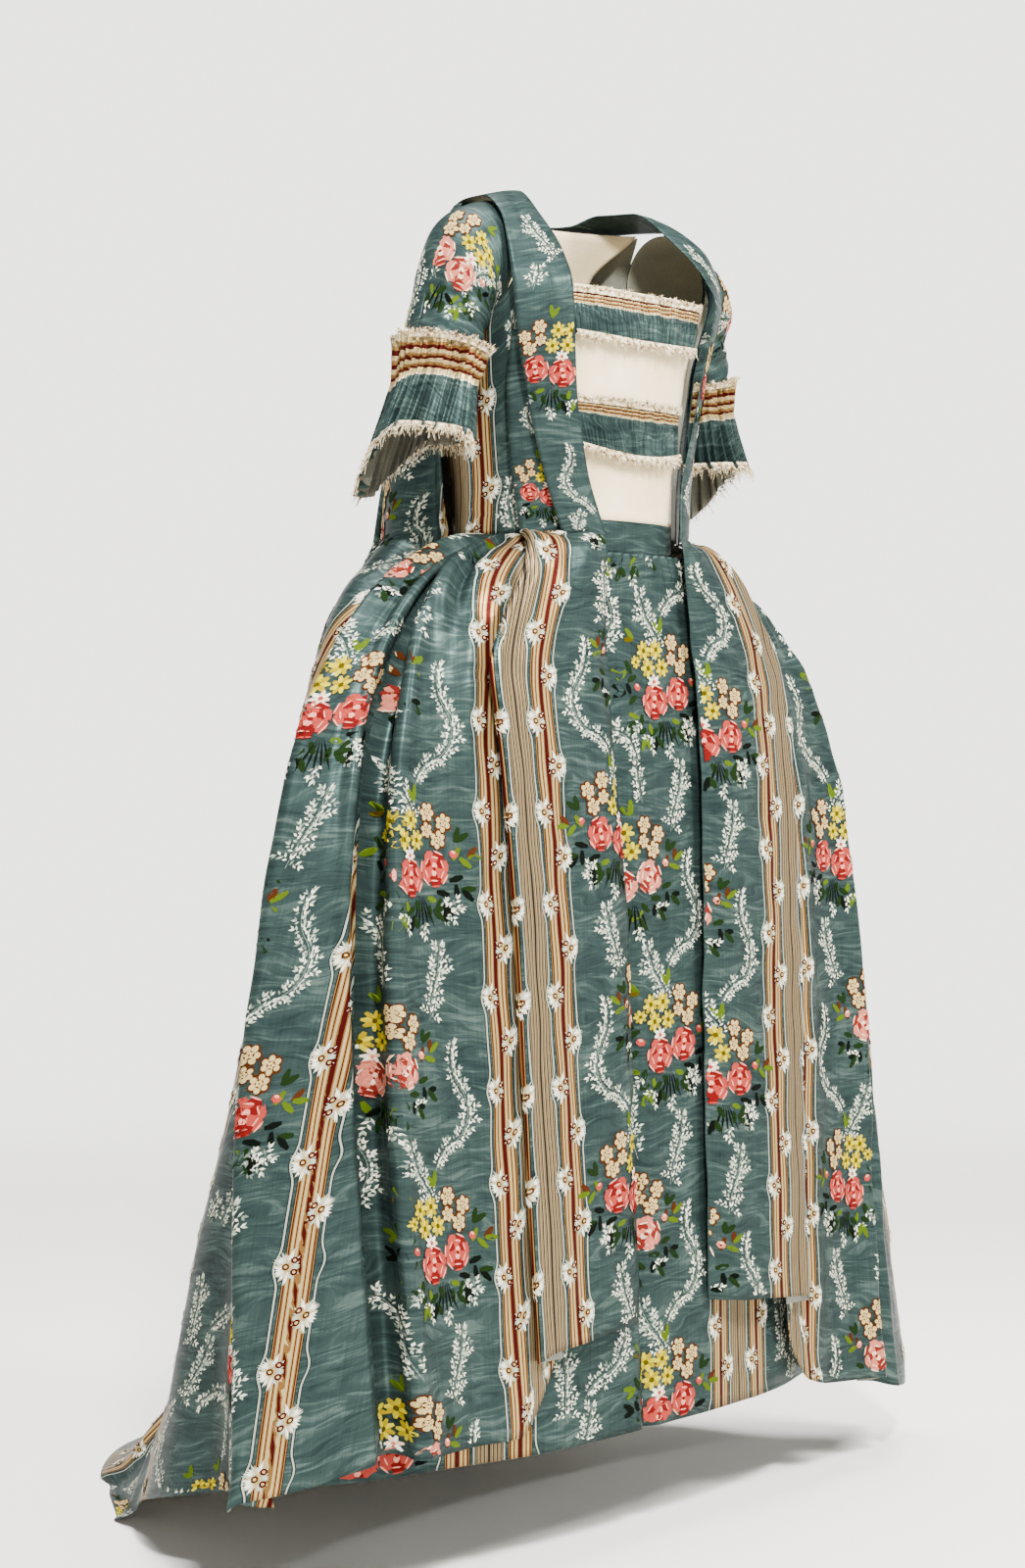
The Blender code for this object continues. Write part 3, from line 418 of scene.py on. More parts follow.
def hang_cloth(name, across, down, place, finish, back, widths=WHOLE, creases=(), relief=None, wall=SILK_THICK,
               tube=False, inside=(0.0, 0.0)):
    """A piece of cloth that stands for the solid of its name: a fine grid moved to place(u, v) and creased."""
    u, v = np.meshgrid(np.linspace(0, 1, across + 1), np.linspace(0, 1, down + 1))
    base = place(u, v)
    padded = np.concatenate([base[:, -2:-1], base, base[:, 1:2]], axis=1) if tube else base
    off = np.cross(np.gradient(padded, axis=1), np.gradient(padded, axis=0))
    off = off[:, 1:-1] if tube else off
    off /= np.maximum(np.linalg.norm(off, axis=2), 1e-12)[..., None]
    if (off[..., :2] * (base[..., :2] - np.asarray(inside))).sum() < 0:
        off = -off
    moved = creased(u, v, base, creases)
    if relief is not None:
        moved = moved + relief(u, v)
    points = posed(base + off * moved[..., None])
    points[..., 2] = np.maximum(points[..., 2], OFF_FLOOR - WAIST_HEIGHT)
    arcs, drops = lengths(base, 1), lengths(base, 0)
    laid = []
    for width in widths:
        column = round(width.measured_from * across)
        fall = drops[:, column]
        loom = width.loom_at + width.runs * (arcs - arcs[:, column, None]) + width.slant * (fall[-1] - fall)[:, None]
        laid.append(Laid(round(width.first * across), round(width.last * across), loom, fall,
                         STRIPE_AT + np.abs(loom) if width.lone else loom))
    form = bmesh.new()
    bmesh.ops.create_grid(form, x_segments=across, y_segments=down, size=0.5)
    threads = form.loops.layers.uv.new("cloth")
    where = {vert.index: (round((0.5 - vert.co.y) * down), round((vert.co.x + 0.5) * across)) for vert in form.verts}
    for face in form.faces:
        middle = sum(where[vert.index][1] for vert in face.verts) / 4
        under = next((row for row in laid if row.first <= middle <= row.last), laid[-1])
        for loop in face.loops:
            j, i = where[loop.vert.index]
            loop[threads].uv = (under.threads_at[j, i], under.fall[j])
    for vert in form.verts:
        vert.co = points[where[vert.index]]
    if tube:
        bmesh.ops.remove_doubles(form, verts=form.verts, dist=1e-5)
    form.normal_update()
    centre = Vector((inside[0], inside[1], 0.0))
    if sum(face.normal.xy.dot((face.calc_center_median() - centre).xy) for face in form.faces) < 0:
        bmesh.ops.reverse_faces(form, faces=form.faces)
    for face in form.faces:
        face.smooth = True
    made = meshed(name + "_cloth", form, finish, back)
    thick = made.modifiers.new("thickness of the cloth", "SOLIDIFY")
    thick.thickness = wall
    thick.offset = -1.0
    thick.material_offset = 1
    thick.material_offset_rim = 0
    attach(made, "root")
    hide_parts(name)
    sheets[name] = dict(points=points, off=off, laid=laid, cloth=made)


def unevenly(share, first, power):
    """Rows of cloth, closer together near the top, where the form turns fast."""
    return first * share + (1 - first) * share**power


def spread(values, share):
    """A value a given share of the way through an evenly spaced list."""
    return smooth_read(np.arange(len(values)), values, share * (len(values) - 1))


skirt_form = ringed(SKIRT_RINGS)
PETTICOAT_HEM, PETTICOAT_TOP = 0.118, 1.0125
PETTICOAT_PLEATS, BAND_PLEATS = 7, 34
# The petticoat lies this far inside the gown's form, and is tucked in further towards its hem.
PETTICOAT_UNDER, TUCK, TUCK_AT_HEM = 0.0039, 0.027, 0.034


def petticoat_top(share):
    """The height of the seam with the band, which climbs over the hoops."""
    return PETTICOAT_TOP + 0.014 * np.clip((share - 0.35) / 0.45, 0, 1)


def petticoat(front):
    """The front or the back width of the petticoat, tucked in under the gown where the gown lies over it."""

    def place(u, v):
        turn = 2 * u - 1
        share = np.abs(turn)
        top = petticoat_top(share) if front else petticoat_top(1.0) + 0 * share
        height = top + (PETTICOAT_HEM - top) * unevenly(v, 0.25, 1.6)
        seam, total = side_way(skirt_form, height), total_way(skirt_form, height)
        way = share * seam if front else seam + (total - seam) * (1 - share)
        tuck = TUCK + TUCK_AT_HEM * v * v
        if front:
            tuck = tuck * np.clip((share - 0.25) / 0.6, 0, 1)
        tuck = tuck * np.minimum(1.0, (top - height) / 0.050)
        pleats = np.sin(np.pi * PETTICOAT_PLEATS * share) * np.minimum(1, share * 4) * np.minimum(1, (1 - share) * 6)
        ripple = 0.0020 * np.minimum(1, v * 3) * pleats
        near_band = 0.0016 * np.exp(-((v - 0.02) / 0.05) ** 2) * np.sin(np.pi * BAND_PLEATS * share)
        if front:
            # The right front's edge presses a shallow groove into the petticoat.
            groove = smooth_read([PETTICOAT_HEM, 0.55, 0.87, PETTICOAT_TOP], [0.038, 0.042, 0.053, 0.045], height)
            pressed_in = 0.010 * np.where(turn < 0, 1.0, 0.0) * np.exp(-((way - groove) / 0.008) ** 2)
            near_band = near_band - pressed_in * np.minimum(1, v * 6)
        return halved(on_form(skirt_form, way, height, -PETTICOAT_UNDER - tuck + ripple + near_band, LEFT), turn)

    return place


hang_cloth(
    "petticoat_front", 160, 90, petticoat(True), striped_silk, lining, [Width(0.0, 1.0, 0.5, -0.122, 1, -0.050)],
    [Crease(0.52, 0.30, 0.10, 82, 0.012, -0.0020), Crease(0.44, 0.55, 0.16, 86, 0.015, 0.0022),
     Crease(0.47, 0.80, 0.12, 95, 0.013, -0.0018), Crease(0.30, 0.85, 0.18, 88, 0.020, 0.0030),
     Crease(0.62, 0.90, 0.14, 92, 0.018, -0.0025), Crease(0.50, 0.06, 0.05, 70, 0.006, -0.0012)])
hang_cloth(
    "petticoat_back", 90, 50, petticoat(False), striped_silk, lining,
    [Width(0.0, 0.5, 0.5, 0.195, -1, 0.0), Width(0.5, 1.0, 0.5, 0.195, 1, 0.0)],
    [Crease(0.3, 0.5, 0.3, 88, 0.02, -0.003), Crease(0.7, 0.6, 0.3, 92, 0.02, 0.003)])

BODICE_RINGS = (
    Ring(1.010, 0.1295, -0.1105, 0.0985, 0.000, 2.4, 2.0),
    Ring(1.030, 0.1295, -0.1105, 0.0985, 0.000, 2.4, 2.0),
    Ring(1.070, 0.1290, -0.108, 0.098, -0.002, 2.5, 2.1),
    Ring(1.130, 0.136, -0.107, 0.100, -0.004, 2.6, 2.2),
    Ring(1.190, 0.147, -0.111, 0.100, -0.008, 2.6, 2.2),
    Ring(1.240, 0.154, -0.113, 0.097, -0.012, 2.6, 2.2),
    Ring(1.280, 0.158, -0.110, 0.090, -0.015, 2.6, 2.2),
    Ring(1.320, 0.158, -0.096, 0.078, -0.018, 2.4, 2.2),
    Ring(1.360, 0.145, -0.070, 0.064, -0.024, 2.2, 2.2),
    Ring(1.385, 0.125, -0.045, 0.055, -0.030, 2.2, 2.2),
)
bodice_form = ringed(BODICE_RINGS)
BAND_TOP = 1.045


def waistband(u, v):
    """The band, from its top edge to the seam with the petticoat."""
    turn = 2 * u - 1
    share = np.abs(turn) * total_way(bodice_form, BAND_TOP) / side_way(bodice_form, BAND_TOP)
    height = BAND_TOP + (petticoat_top(share) - 0.0020 - BAND_TOP) * v
    way = np.abs(turn) * total_way(bodice_form, height)
    return halved(on_form(bodice_form, way, height, -0.0060, LEFT), turn)


hang_cloth("petticoat_waistband", 120, 8, waistband, blue_silk, lining, WHOLE,
           [Crease(0.52, 0.5, 0.02, 80, 0.004, -0.0008), Crease(0.46, 0.5, 0.02, 95, 0.004, 0.0007)], tube=True)

# ---------------------------------------------------------------- front panels of the gown
# One on each side, folded back along a pleat at the outer edge, so that the stripes show beside the fold.
# The front edge is turned in, and the hem hangs a hand above the petticoat's.
Fold = namedtuple("Fold", "name waist hip knee hem lift_waist lift_hip lift_knee lift_hem")
FOLD_HEIGHTS = dict(waist=1.030, hip=0.870, knee=0.550, hem=0.150)
FRONT_FOLDS = (
    Fold("front edge", 0.063, 0.074, 0.062, 0.059, 0.0120, 0.0140, 0.0130, 0.0120),
    Fold("face", 0.092, 0.120, 0.110, 0.104, 0.0150, 0.0170, 0.0170, 0.0170),
    Fold("outer face", 0.120, 0.180, 0.172, 0.164, 0.0180, 0.0180, 0.0180, 0.0190),
    Fold("shoulder of fold", 0.136, 0.233, 0.226, 0.216, 0.0220, 0.0190, 0.0190, 0.0210),
    Fold("fold", 0.141, 0.243, 0.236, 0.226, 0.0175, 0.0155, 0.0155, 0.0175),
    Fold("turned under", 0.136, 0.234, 0.227, 0.217, 0.0130, 0.0114, 0.0112, 0.0132),
    Fold("seam", 0.122, 0.200, 0.194, 0.190, 0.0110, 0.0108, 0.0106, 0.0121),
)
SKIRT_TOP = 1.0305


def fold_columns(folds, heights, height):
    """The places and the lifts of all the folds, at each point's height."""
    names = sorted(heights, key=heights.get)
    keys = [heights[name] for name in names]
    places = [smooth_read(keys, [getattr(fold, name) for name in names], height) for fold in folds]
    lifts = [smooth_read(keys, [getattr(fold, "lift_" + name) for name in names], height) for fold in folds]
    return np.array(places), np.array(lifts)


def skirt_panel(folds, shares, hem, side):
    """A panel of the skirt, whose width follows its folds from front to back."""

    def place(u, v):
        height = SKIRT_TOP + (hem(u) - SKIRT_TOP) * unevenly(v, 0.28, 1.6)
        places, lifts = fold_columns(folds, FOLD_HEIGHTS, height)
        way = spread(places, u)
        if shares:
            way = way * side_way(skirt_form, height)
        return on_form(skirt_form, way, height, spread(lifts, u), side)

    return place


FRONT_HEM_EDGE, FRONT_HEM = 0.235, 0.212


def front_hem(u):
    """The front panel's hem, a little higher at its open edge."""
    return FRONT_HEM_EDGE + (FRONT_HEM - FRONT_HEM_EDGE) * np.minimum(1.0, u * 1.5)


def hanging(seed, flutes, depth, start=0.15):
    """Shallow flutes that grow towards the hem, and the small unevenness of cloth that hangs."""
    dice = random.Random(seed)
    rows = [(dice.uniform(0.6, 1.4) * flutes, dice.uniform(0, 6.3), dice.uniform(-0.8, 0.8), dice.uniform(0.4, 1.0))
            for _ in range(3)]
    spots = [(dice.uniform(2, 7), dice.uniform(3, 11), dice.uniform(0, 6.3)) for _ in range(5)]

    def relief(u, v):
        moved = sum(weight * np.sin(2 * np.pi * (count * u + lean * v * v) + phase)
                    for count, phase, lean, weight in rows)
        moved = moved * depth / 2 * np.clip((v - start) / 0.6, 0, 1)
        fine = sum(np.sin(2 * np.pi * a * u + phase + 1.3 * np.sin(b * v * 2)) * np.sin(2 * np.pi * b * v + 2 * phase)
                   for a, b, phase in spots)
        return moved + fine * 0.0006

    return relief


Press = namedtuple("Press", "across width top hem")


def pressed(folds, loose):
    """Folds that run the cloth's whole length, as deep as top at the top and hem at the hem, over its loose hang."""

    def depth(fold, u, v):
        deep = (fold.top + (fold.hem - fold.top) * v) * np.minimum(1, v * 8)
        return deep * np.exp(-((u - fold.across) / fold.width) ** 2)

    return lambda u, v: loose(u, v) + sum(depth(fold, u, v) for fold in folds)


for word, side in SIDES:
    hang_cloth(
        f"skirt_front_{word}", 66, 110, skirt_panel(FRONT_FOLDS, False, front_hem, side), striped_silk, lining,
        [Width(0.0, 1.0, 0.35, 0.036, -1, 0.0)],
        [Crease(0.25, 0.10, 0.05, 75, 0.006, -0.0015), Crease(0.35, 0.22, 0.10, 80, 0.010, 0.0020),
         Crease(0.20, 0.48, 0.08, 20, 0.008, -0.0012), Crease(0.30, 0.70, 0.12, 85, 0.012, -0.0018),
         Crease(0.40, 0.88, 0.10, 96, 0.012, 0.0020)],
        pressed((Press(0.0, 0.05, -0.006, -0.007), Press(0.60, 0.10, 0.003, 0.003)), hanging(11 + side, 1.2, 0.0022)))

# ---------------------------------------------------------------- side panels of the gown
# Two gores on each side, pleated over the hoops with a deep fold between them, and a last fold that lies over
# the back. The hem drops from under the front panel towards the train.
SIDE_FOLDS = (
    Fold("inner turn", 0.640, 0.435, 0.360, 0.330, 0.0050, 0.0080, 0.0080, 0.0095),
    Fold("under the front", 0.690, 0.470, 0.400, 0.352, 0.0003, 0.0045, 0.0045, 0.0060),
    Fold("coming out", 0.775, 0.575, 0.480, 0.400, 0.0003, 0.0045, 0.0045, 0.0070),
    Fold("striped ridge", 0.812, 0.640, 0.540, 0.450, 0.0015, 0.0100, 0.0130, 0.0120),
    Fold("gore", 0.836, 0.715, 0.615, 0.530, 0.0020, 0.0120, 0.0130, 0.0130),
    Fold("gore edge", 0.858, 0.790, 0.730, 0.628, 0.0040, 0.0180, 0.0230, 0.0220),
    Fold("valley wall", 0.870, 0.812, 0.754, 0.652, 0.0005, 0.0060, 0.0060, 0.0100),
    Fold("valley", 0.886, 0.845, 0.786, 0.684, -0.0005, -0.0030, -0.0040, 0.0040),
    Fold("second ridge", 0.904, 0.872, 0.820, 0.722, 0.0010, 0.0100, 0.0130, 0.0140),
    Fold("second gore", 0.928, 0.905, 0.870, 0.800, 0.0030, 0.0160, 0.0180, 0.0200),
    Fold("shoulder of fold", 0.985, 0.948, 0.946, 0.898, 0.0140, 0.0190, 0.0200, 0.0220),
    Fold("back fold", 1.012, 0.962, 0.961, 0.914, 0.0090, 0.0150, 0.0160, 0.0180),
    Fold("turned under", 0.985, 0.948, 0.948, 0.902, 0.0035, 0.0110, 0.0120, 0.0140),
    Fold("inner end", 0.960, 0.915, 0.912, 0.866, 0.0030, 0.0090, 0.0100, 0.0120),
)
Hem = namedtuple("Hem", "share right left")
SIDE_HEM = (
    Hem(0.00, 0.213, 0.213),
    Hem(0.08, 0.180, 0.165),
    Hem(0.16, 0.142, 0.122),
    Hem(0.38, 0.145, 0.102),
    Hem(0.55, 0.150, 0.088),
    Hem(0.78, 0.120, 0.060),
    Hem(0.85, 0.113, 0.053),
    Hem(0.93, 0.126, 0.066),
    Hem(1.00, 0.130, 0.070),
)


def side_hem(side):
    """The hem of the side gores, lower on the wearer's left."""
    heights = [row.right if side == RIGHT else row.left for row in SIDE_HEM]
    return lambda u: smooth_read([row.share for row in SIDE_HEM], heights, u)


# The gores are seamed along the eighth of the fourteen folds.
GORE_SEAM = 7 / 13
for word, side in SIDES:
    hang_cloth(
        f"skirt_side_{word}", 182, 118, skirt_panel(SIDE_FOLDS, True, side_hem(side), side), striped_silk, lining,
        [Width(0.0, GORE_SEAM, 2.7 / 13, 0.055, 1, 0.0), Width(GORE_SEAM, 1.0, GORE_SEAM, -0.130, 1, 0.25, True)],
        [Crease(0.28, 0.13, 0.10, 12, 0.006, -0.0022), Crease(0.33, 0.20, 0.14, 8, 0.008, 0.0020),
         Crease(0.30, 0.27, 0.12, -6, 0.007, -0.0018), Crease(0.25, 0.34, 0.25, 87, 0.012, 0.0032),
         Crease(0.33, 0.55, 0.30, 92, 0.018, -0.0035), Crease(0.29, 0.80, 0.22, 84, 0.015, 0.0030),
         Crease(0.36, 0.86, 0.20, 96, 0.016, -0.0030), Crease(0.68, 0.35, 0.30, 88, 0.010, 0.0025),
         Crease(0.72, 0.62, 0.25, 93, 0.012, -0.0025), Crease(0.66, 0.85, 0.20, 85, 0.012, 0.0025),
         Crease(0.27, 0.09, 0.18, 88, 0.007, -0.0050), Crease(0.345, 0.11, 0.20, 91, 0.008, 0.0045),
         Crease(0.42, 0.10, 0.20, 92, 0.007, -0.0050), Crease(0.58, 0.12, 0.22, 88, 0.007, 0.0045),
         Crease(0.67, 0.14, 0.22, 90, 0.008, -0.0055)],
        pressed((Press(0.385, 0.030, 0.008, 0.009), Press(0.490, 0.040, -0.020, -0.018),
                 Press(0.615, 0.030, 0.007, 0.010), Press(0.800, 0.050, 0.004, 0.008),
                 Press(0.270, 0.040, -0.003, -0.005)), hanging(21 + side, 2.4, 0.0040)))

# ---------------------------------------------------------------- loose back and train
# The full widths of the back, laid in box pleats at the neck and stitched down only there. They hang free of
# the fitted back, spread over the hoops and end in a short train.
BACK_RINGS = (
    Ring(0.000, 0.440, -0.140, 0.605, 0.000, 2.2, 1.60),
    Ring(0.015, 0.455, -0.140, 0.560, 0.000, 2.2, 1.55),
    Ring(0.056, 0.485, -0.140, 0.512, 0.000, 2.2, 1.45),
    Ring(0.100, 0.504, -0.140, 0.462, 0.000, 2.2, 1.40),
    Ring(0.160, 0.512, -0.140, 0.415, 0.000, 2.2, 1.35),
    Ring(0.222, 0.510, -0.138, 0.380, 0.000, 2.2, 1.35),
    Ring(0.305, 0.500, -0.136, 0.345, 0.000, 2.2, 1.35),
    Ring(0.378, 0.488, -0.135, 0.312, 0.000, 2.2, 1.35),
    Ring(0.482, 0.467, -0.133, 0.284, 0.002, 2.2, 1.35),
    Ring(0.607, 0.442, -0.131, 0.250, 0.003, 2.2, 1.35),
    Ring(0.770, 0.397, -0.123, 0.226, 0.004, 2.2, 1.38),
    Ring(0.860, 0.358, -0.115, 0.219, 0.006, 2.2, 1.42),
    Ring(0.926, 0.308, -0.105, 0.214, 0.012, 2.2, 1.55),
    Ring(0.969, 0.254, -0.095, 0.210, 0.020, 2.2, 1.65),
    Ring(1.008, 0.176, -0.080, 0.203, 0.034, 2.2, 1.85),
    Ring(1.035, 0.136, -0.050, 0.197, 0.046, 2.2, 2.1),
    Ring(1.090, 0.136, 0.000, 0.182, 0.052, 2.2, 2.2),
    Ring(1.180, 0.144, 0.000, 0.157, 0.054, 2.2, 2.2),
    Ring(1.260, 0.150, 0.000, 0.130, 0.052, 2.2, 2.2),
    Ring(1.330, 0.146, 0.000, 0.096, 0.046, 2.2, 2.2),
    Ring(1.372, 0.132, 0.000, 0.068, 0.022, 2.2, 2.2),
)
BackFold = namedtuple("BackFold", "name neck blade seat train lift_neck lift_blade lift_seat lift_train")
BACK_HEIGHTS = dict(neck=NECK, blade=1.200, seat=0.870, train=0.030)
BACK_FOLDS = (
    BackFold("centre crease", 0.000, 0.000, 0.000, 0.000, 0.0020, 0.0000, -0.0060, -0.0030),
    BackFold("inner edge", 0.040, 0.040, 0.040, 0.060, 0.0140, 0.0140, 0.0120, 0.0020),
    BackFold("box pleat", 0.200, 0.200, 0.170, 0.180, 0.0170, 0.0190, 0.0220, 0.0050),
    BackFold("outer edge", 0.380, 0.360, 0.280, 0.300, 0.0170, 0.0180, 0.0220, 0.0050),
    BackFold("edge turn", 0.400, 0.380, 0.300, 0.330, 0.0135, 0.0135, 0.0150, 0.0010),
    BackFold("edge under", 0.380, 0.360, 0.292, 0.360, 0.0100, 0.0090, 0.0080, -0.0030),
    BackFold("second pleat", 0.440, 0.430, 0.370, 0.420, 0.0100, 0.0090, 0.0100, 0.0010),
    BackFold("second edge", 0.540, 0.530, 0.470, 0.530, 0.0100, 0.0090, 0.0160, 0.0100),
    BackFold("second turn", 0.560, 0.550, 0.490, 0.560, 0.0065, 0.0050, 0.0100, 0.0040),
    BackFold("second under", 0.540, 0.530, 0.484, 0.610, 0.0030, 0.0010, 0.0020, -0.0080),
    BackFold("hip gore", 0.700, 0.700, 0.650, 0.720, 0.0010, 0.0000, 0.0020, -0.0040),
    BackFold("hip gore back", 0.850, 0.850, 0.820, 0.850, 0.0005, 0.0000, 0.0030, 0.0020),
    BackFold("side edge", 1.000, 1.000, 1.060, 1.080, 0.0000, 0.0000, 0.0000, 0.0000),
)
BACK_ROWS = (
    1.372, 1.330, 1.270, 1.190, 1.110, 1.045, 1.010, 0.970, 0.910, 0.830, 0.700,
    0.540, 0.380, 0.260, 0.165, 0.090, 0.040, 0.000,
)
back_form = ringed(BACK_RINGS)
TRAIN_FLOOR, TRAIN_HEM_SIDE = 0.0013, 0.100


def train_hem(share):
    """The train's hem: on the floor at the back, rising towards the side."""
    rise = smooth_read([0.00, 0.64, 0.76, 0.90, 1.00], [0.0, 0.0, 0.35, 0.80, 1.0], share)
    return TRAIN_FLOOR + (TRAIN_HEM_SIDE - TRAIN_FLOOR) * rise


def back_panel(u, v):
    """The back from side to side and from neck to hem. The rows lie closer where it turns on to the floor."""
    turn = 2 * u - 1
    share = np.abs(turn)
    row = smooth_read(np.arange(len(BACK_ROWS)), BACK_ROWS, v * (len(BACK_ROWS) - 1))
    height = NECK - (NECK - row) * (NECK - train_hem(share)) / NECK
    places, lifts = fold_columns(BACK_FOLDS, BACK_HEIGHTS, height)
    total = total_way(back_form, height)
    way = total - spread(places, share) * (total - side_way(back_form, height))
    return halved(on_form(back_form, way, height, spread(lifts, share), LEFT), turn)


# Four widths of silk: two on each side of the middle seam, the outer ones slanted by their gores.
BACK_SEAM = 9 / 24
hang_cloth(
    "back_with_train", 216, 150, back_panel, striped_silk, lining,
    [Width(0.0, 0.5 - BACK_SEAM, 0.5 - BACK_SEAM, 0.38, -1, -0.143), Width(0.5 - BACK_SEAM, 0.5, 0.5, 0.195, -1, 0.0),
     Width(0.5, 0.5 + BACK_SEAM, 0.5, 0.195, 1, 0.0), Width(0.5 + BACK_SEAM, 1.0, 0.5 + BACK_SEAM, 0.38, 1, -0.143)],
    [Crease(0.30, 0.30, 0.30, 85, 0.012, -0.003), Crease(0.72, 0.35, 0.25, 95, 0.012, -0.003),
     Crease(0.42, 0.62, 0.35, 88, 0.018, 0.005), Crease(0.60, 0.66, 0.35, 92, 0.018, 0.005),
     Crease(0.20, 0.72, 0.30, 86, 0.018, -0.005), Crease(0.80, 0.72, 0.30, 94, 0.018, -0.005),
     Crease(0.35, 0.90, 0.18, 80, 0.014, 0.004), Crease(0.64, 0.90, 0.18, 98, 0.014, 0.004),
     Crease(0.08, 0.80, 0.25, 88, 0.015, 0.004), Crease(0.92, 0.80, 0.25, 92, 0.015, 0.004)],
    pressed((Press(0.032, 0.024, -0.012, -0.040), Press(0.968, 0.024, -0.012, -0.040),
             Press(0.110, 0.040, 0.006, 0.010), Press(0.890, 0.040, 0.006, 0.010),
             Press(0.22, 0.030, -0.004, -0.014), Press(0.78, 0.030, -0.004, -0.014)), hanging(31, 5.0, 0.0050, 0.3)))

# ---------------------------------------------------------------- fitted bodice
# Close side pieces of silk, and a fitted linen back under the loose pleats. The robings are folded bands of the
# same silk down both fronts, with a second, narrower fold under each.
ARMHOLE_Y, ARMHOLE_Z, ARMHOLE_DEEP, ARMHOLE_WIDE, ARMHOLE_SEAM = -0.012, 1.312, 0.066, 0.054, 0.003
BODICE_BOTTOM = SKIRT_TOP - 0.0015
CHEST = 1.26
linen = plain_weave("linen", linear(198, 176, 130), linear(240, 222, 182))


def form_way(form, turn, height):
    """The way round for a turn of 0 at the front centre, 1 at the side and 2 at the back centre."""
    side, total = side_way(form, height), total_way(form, height)
    return np.where(turn <= 1, turn * side, side + (turn - 1) * (total - side))


def side_body(side):
    """A close side piece, cut out round the arm at its top."""

    def place(u, v):
        turn = 0.56 + 0.96 * u
        chest = CHEST + 0 * u
        y = on_form(bodice_form, form_way(bodice_form, turn, chest), chest, 0 * u, LEFT)[..., 1]
        off = np.clip((y - ARMHOLE_Y) / ARMHOLE_WIDE, -1, 1)
        top = ARMHOLE_Z - ARMHOLE_DEEP * np.sqrt(1 - off * off) + ARMHOLE_SEAM
        height = top + (BODICE_BOTTOM - top) * v
        return on_form(bodice_form, form_way(bodice_form, turn, height), height, 0 * u, side)

    return place


def back_body(u, v):
    """The fitted back, wider over the shoulders than below."""
    turn = 2 * u - 1
    height = NECK + (BODICE_BOTTOM - NECK) * v
    reach = smooth_read([0, 0.15, 0.5, 1], [0.74, 0.475, 0.475, 0.475], v)
    way = form_way(bodice_form, 2 - np.abs(turn) * reach, height)
    return halved(on_form(bodice_form, way, height, 0 * u, LEFT), turn)


Strip = namedtuple("Strip", "inner_x inner_y inner_z outer_x outer_y outer_z")
ROBING = (
    Strip(0.0005, 0.0590, 1.3738, 0.0005, 0.0880, 1.3738),
    Strip(0.034, 0.0560, 1.3740, 0.062, 0.0800, 1.3738),
    Strip(0.058, 0.0470, 1.3775, 0.106, 0.056, 1.3745),
    Strip(0.072, 0.022, 1.388, 0.130, 0.020, 1.3765),
    Strip(0.083, -0.012, 1.388, 0.143, -0.016, 1.3745),
    Strip(0.094, -0.054, 1.355, 0.156, -0.053, 1.348),
    Strip(0.103, -0.090, 1.313, 0.163, -0.069, 1.300),
    Strip(0.110, -0.108, 1.276, 0.161, -0.073, 1.262),
    Strip(0.109, -0.110, 1.225, 0.155, -0.074, 1.215),
    Strip(0.098, -0.105, 1.155, 0.140, -0.076, 1.150),
    Strip(0.081, -0.103, 1.095, 0.125, -0.081, 1.092),
    Strip(0.063, -0.1135, 1.0270, 0.106, -0.0905, 1.0270),
)
UNDER_ROBING = (
    Strip(0.122, -0.0915, 1.240, 0.150, -0.060, 1.232),
    Strip(0.118, -0.0870, 1.180, 0.146, -0.050, 1.174),
    Strip(0.108, -0.0830, 1.110, 0.138, -0.048, 1.106),
    Strip(0.096, -0.0865, 1.0275, 0.132, -0.057, 1.0275),
)


def strip(table, bulge, side):
    """A band between two edges, bulging a little outwards along its middle."""

    def place(u, v):
        columns = [spread(column, v) for column in zip(*table)]
        inner, outer = np.stack(columns[:3], axis=-1), np.stack(columns[3:], axis=-1)
        out = np.array([0.35, -1.0, 0.35]) / math.sqrt(0.35**2 + 1 + 0.35**2)
        points = inner + (outer - inner) * u[..., None] + out * (bulge * 4 * u * (1 - u))[..., None]
        return points * np.array([side, 1, 1])

    return place


hang_cloth("back_body", 48, 40, back_body, linen, linen)
FOLDED_BAND = [Width(0.0, 1.0, 0.0, 0.10, 1, 0.0)]
for word, side in SIDES:
    hang_cloth(f"side_body_{word}", 36, 40, side_body(side), striped_silk, lining,
               [Width(0.0, 1.0, 0.36, -0.052, 1, 0.0)],
               [Crease(0.2, 0.55, 0.05, 30, 0.004, -0.0012), Crease(0.35, 0.8, 0.06, 15, 0.004, 0.0012),
                Crease(0.5, 0.9, 0.05, 5, 0.004, -0.0012)])
    hang_cloth(f"robing_{word}", 14, 150, strip(ROBING, 0.004, side), blue_silk, blue_silk, FOLDED_BAND,
               [Crease(0.5, 0.42, 0.05, 70, 0.006, -0.0012), Crease(0.4, 0.62, 0.06, 95, 0.006, 0.0012),
                Crease(0.6, 0.86, 0.05, 60, 0.005, -0.0012)])
    hang_cloth(f"under_robing_{word}", 10, 60, strip(UNDER_ROBING, 0.002, side), blue_silk, blue_silk, FOLDED_BAND)

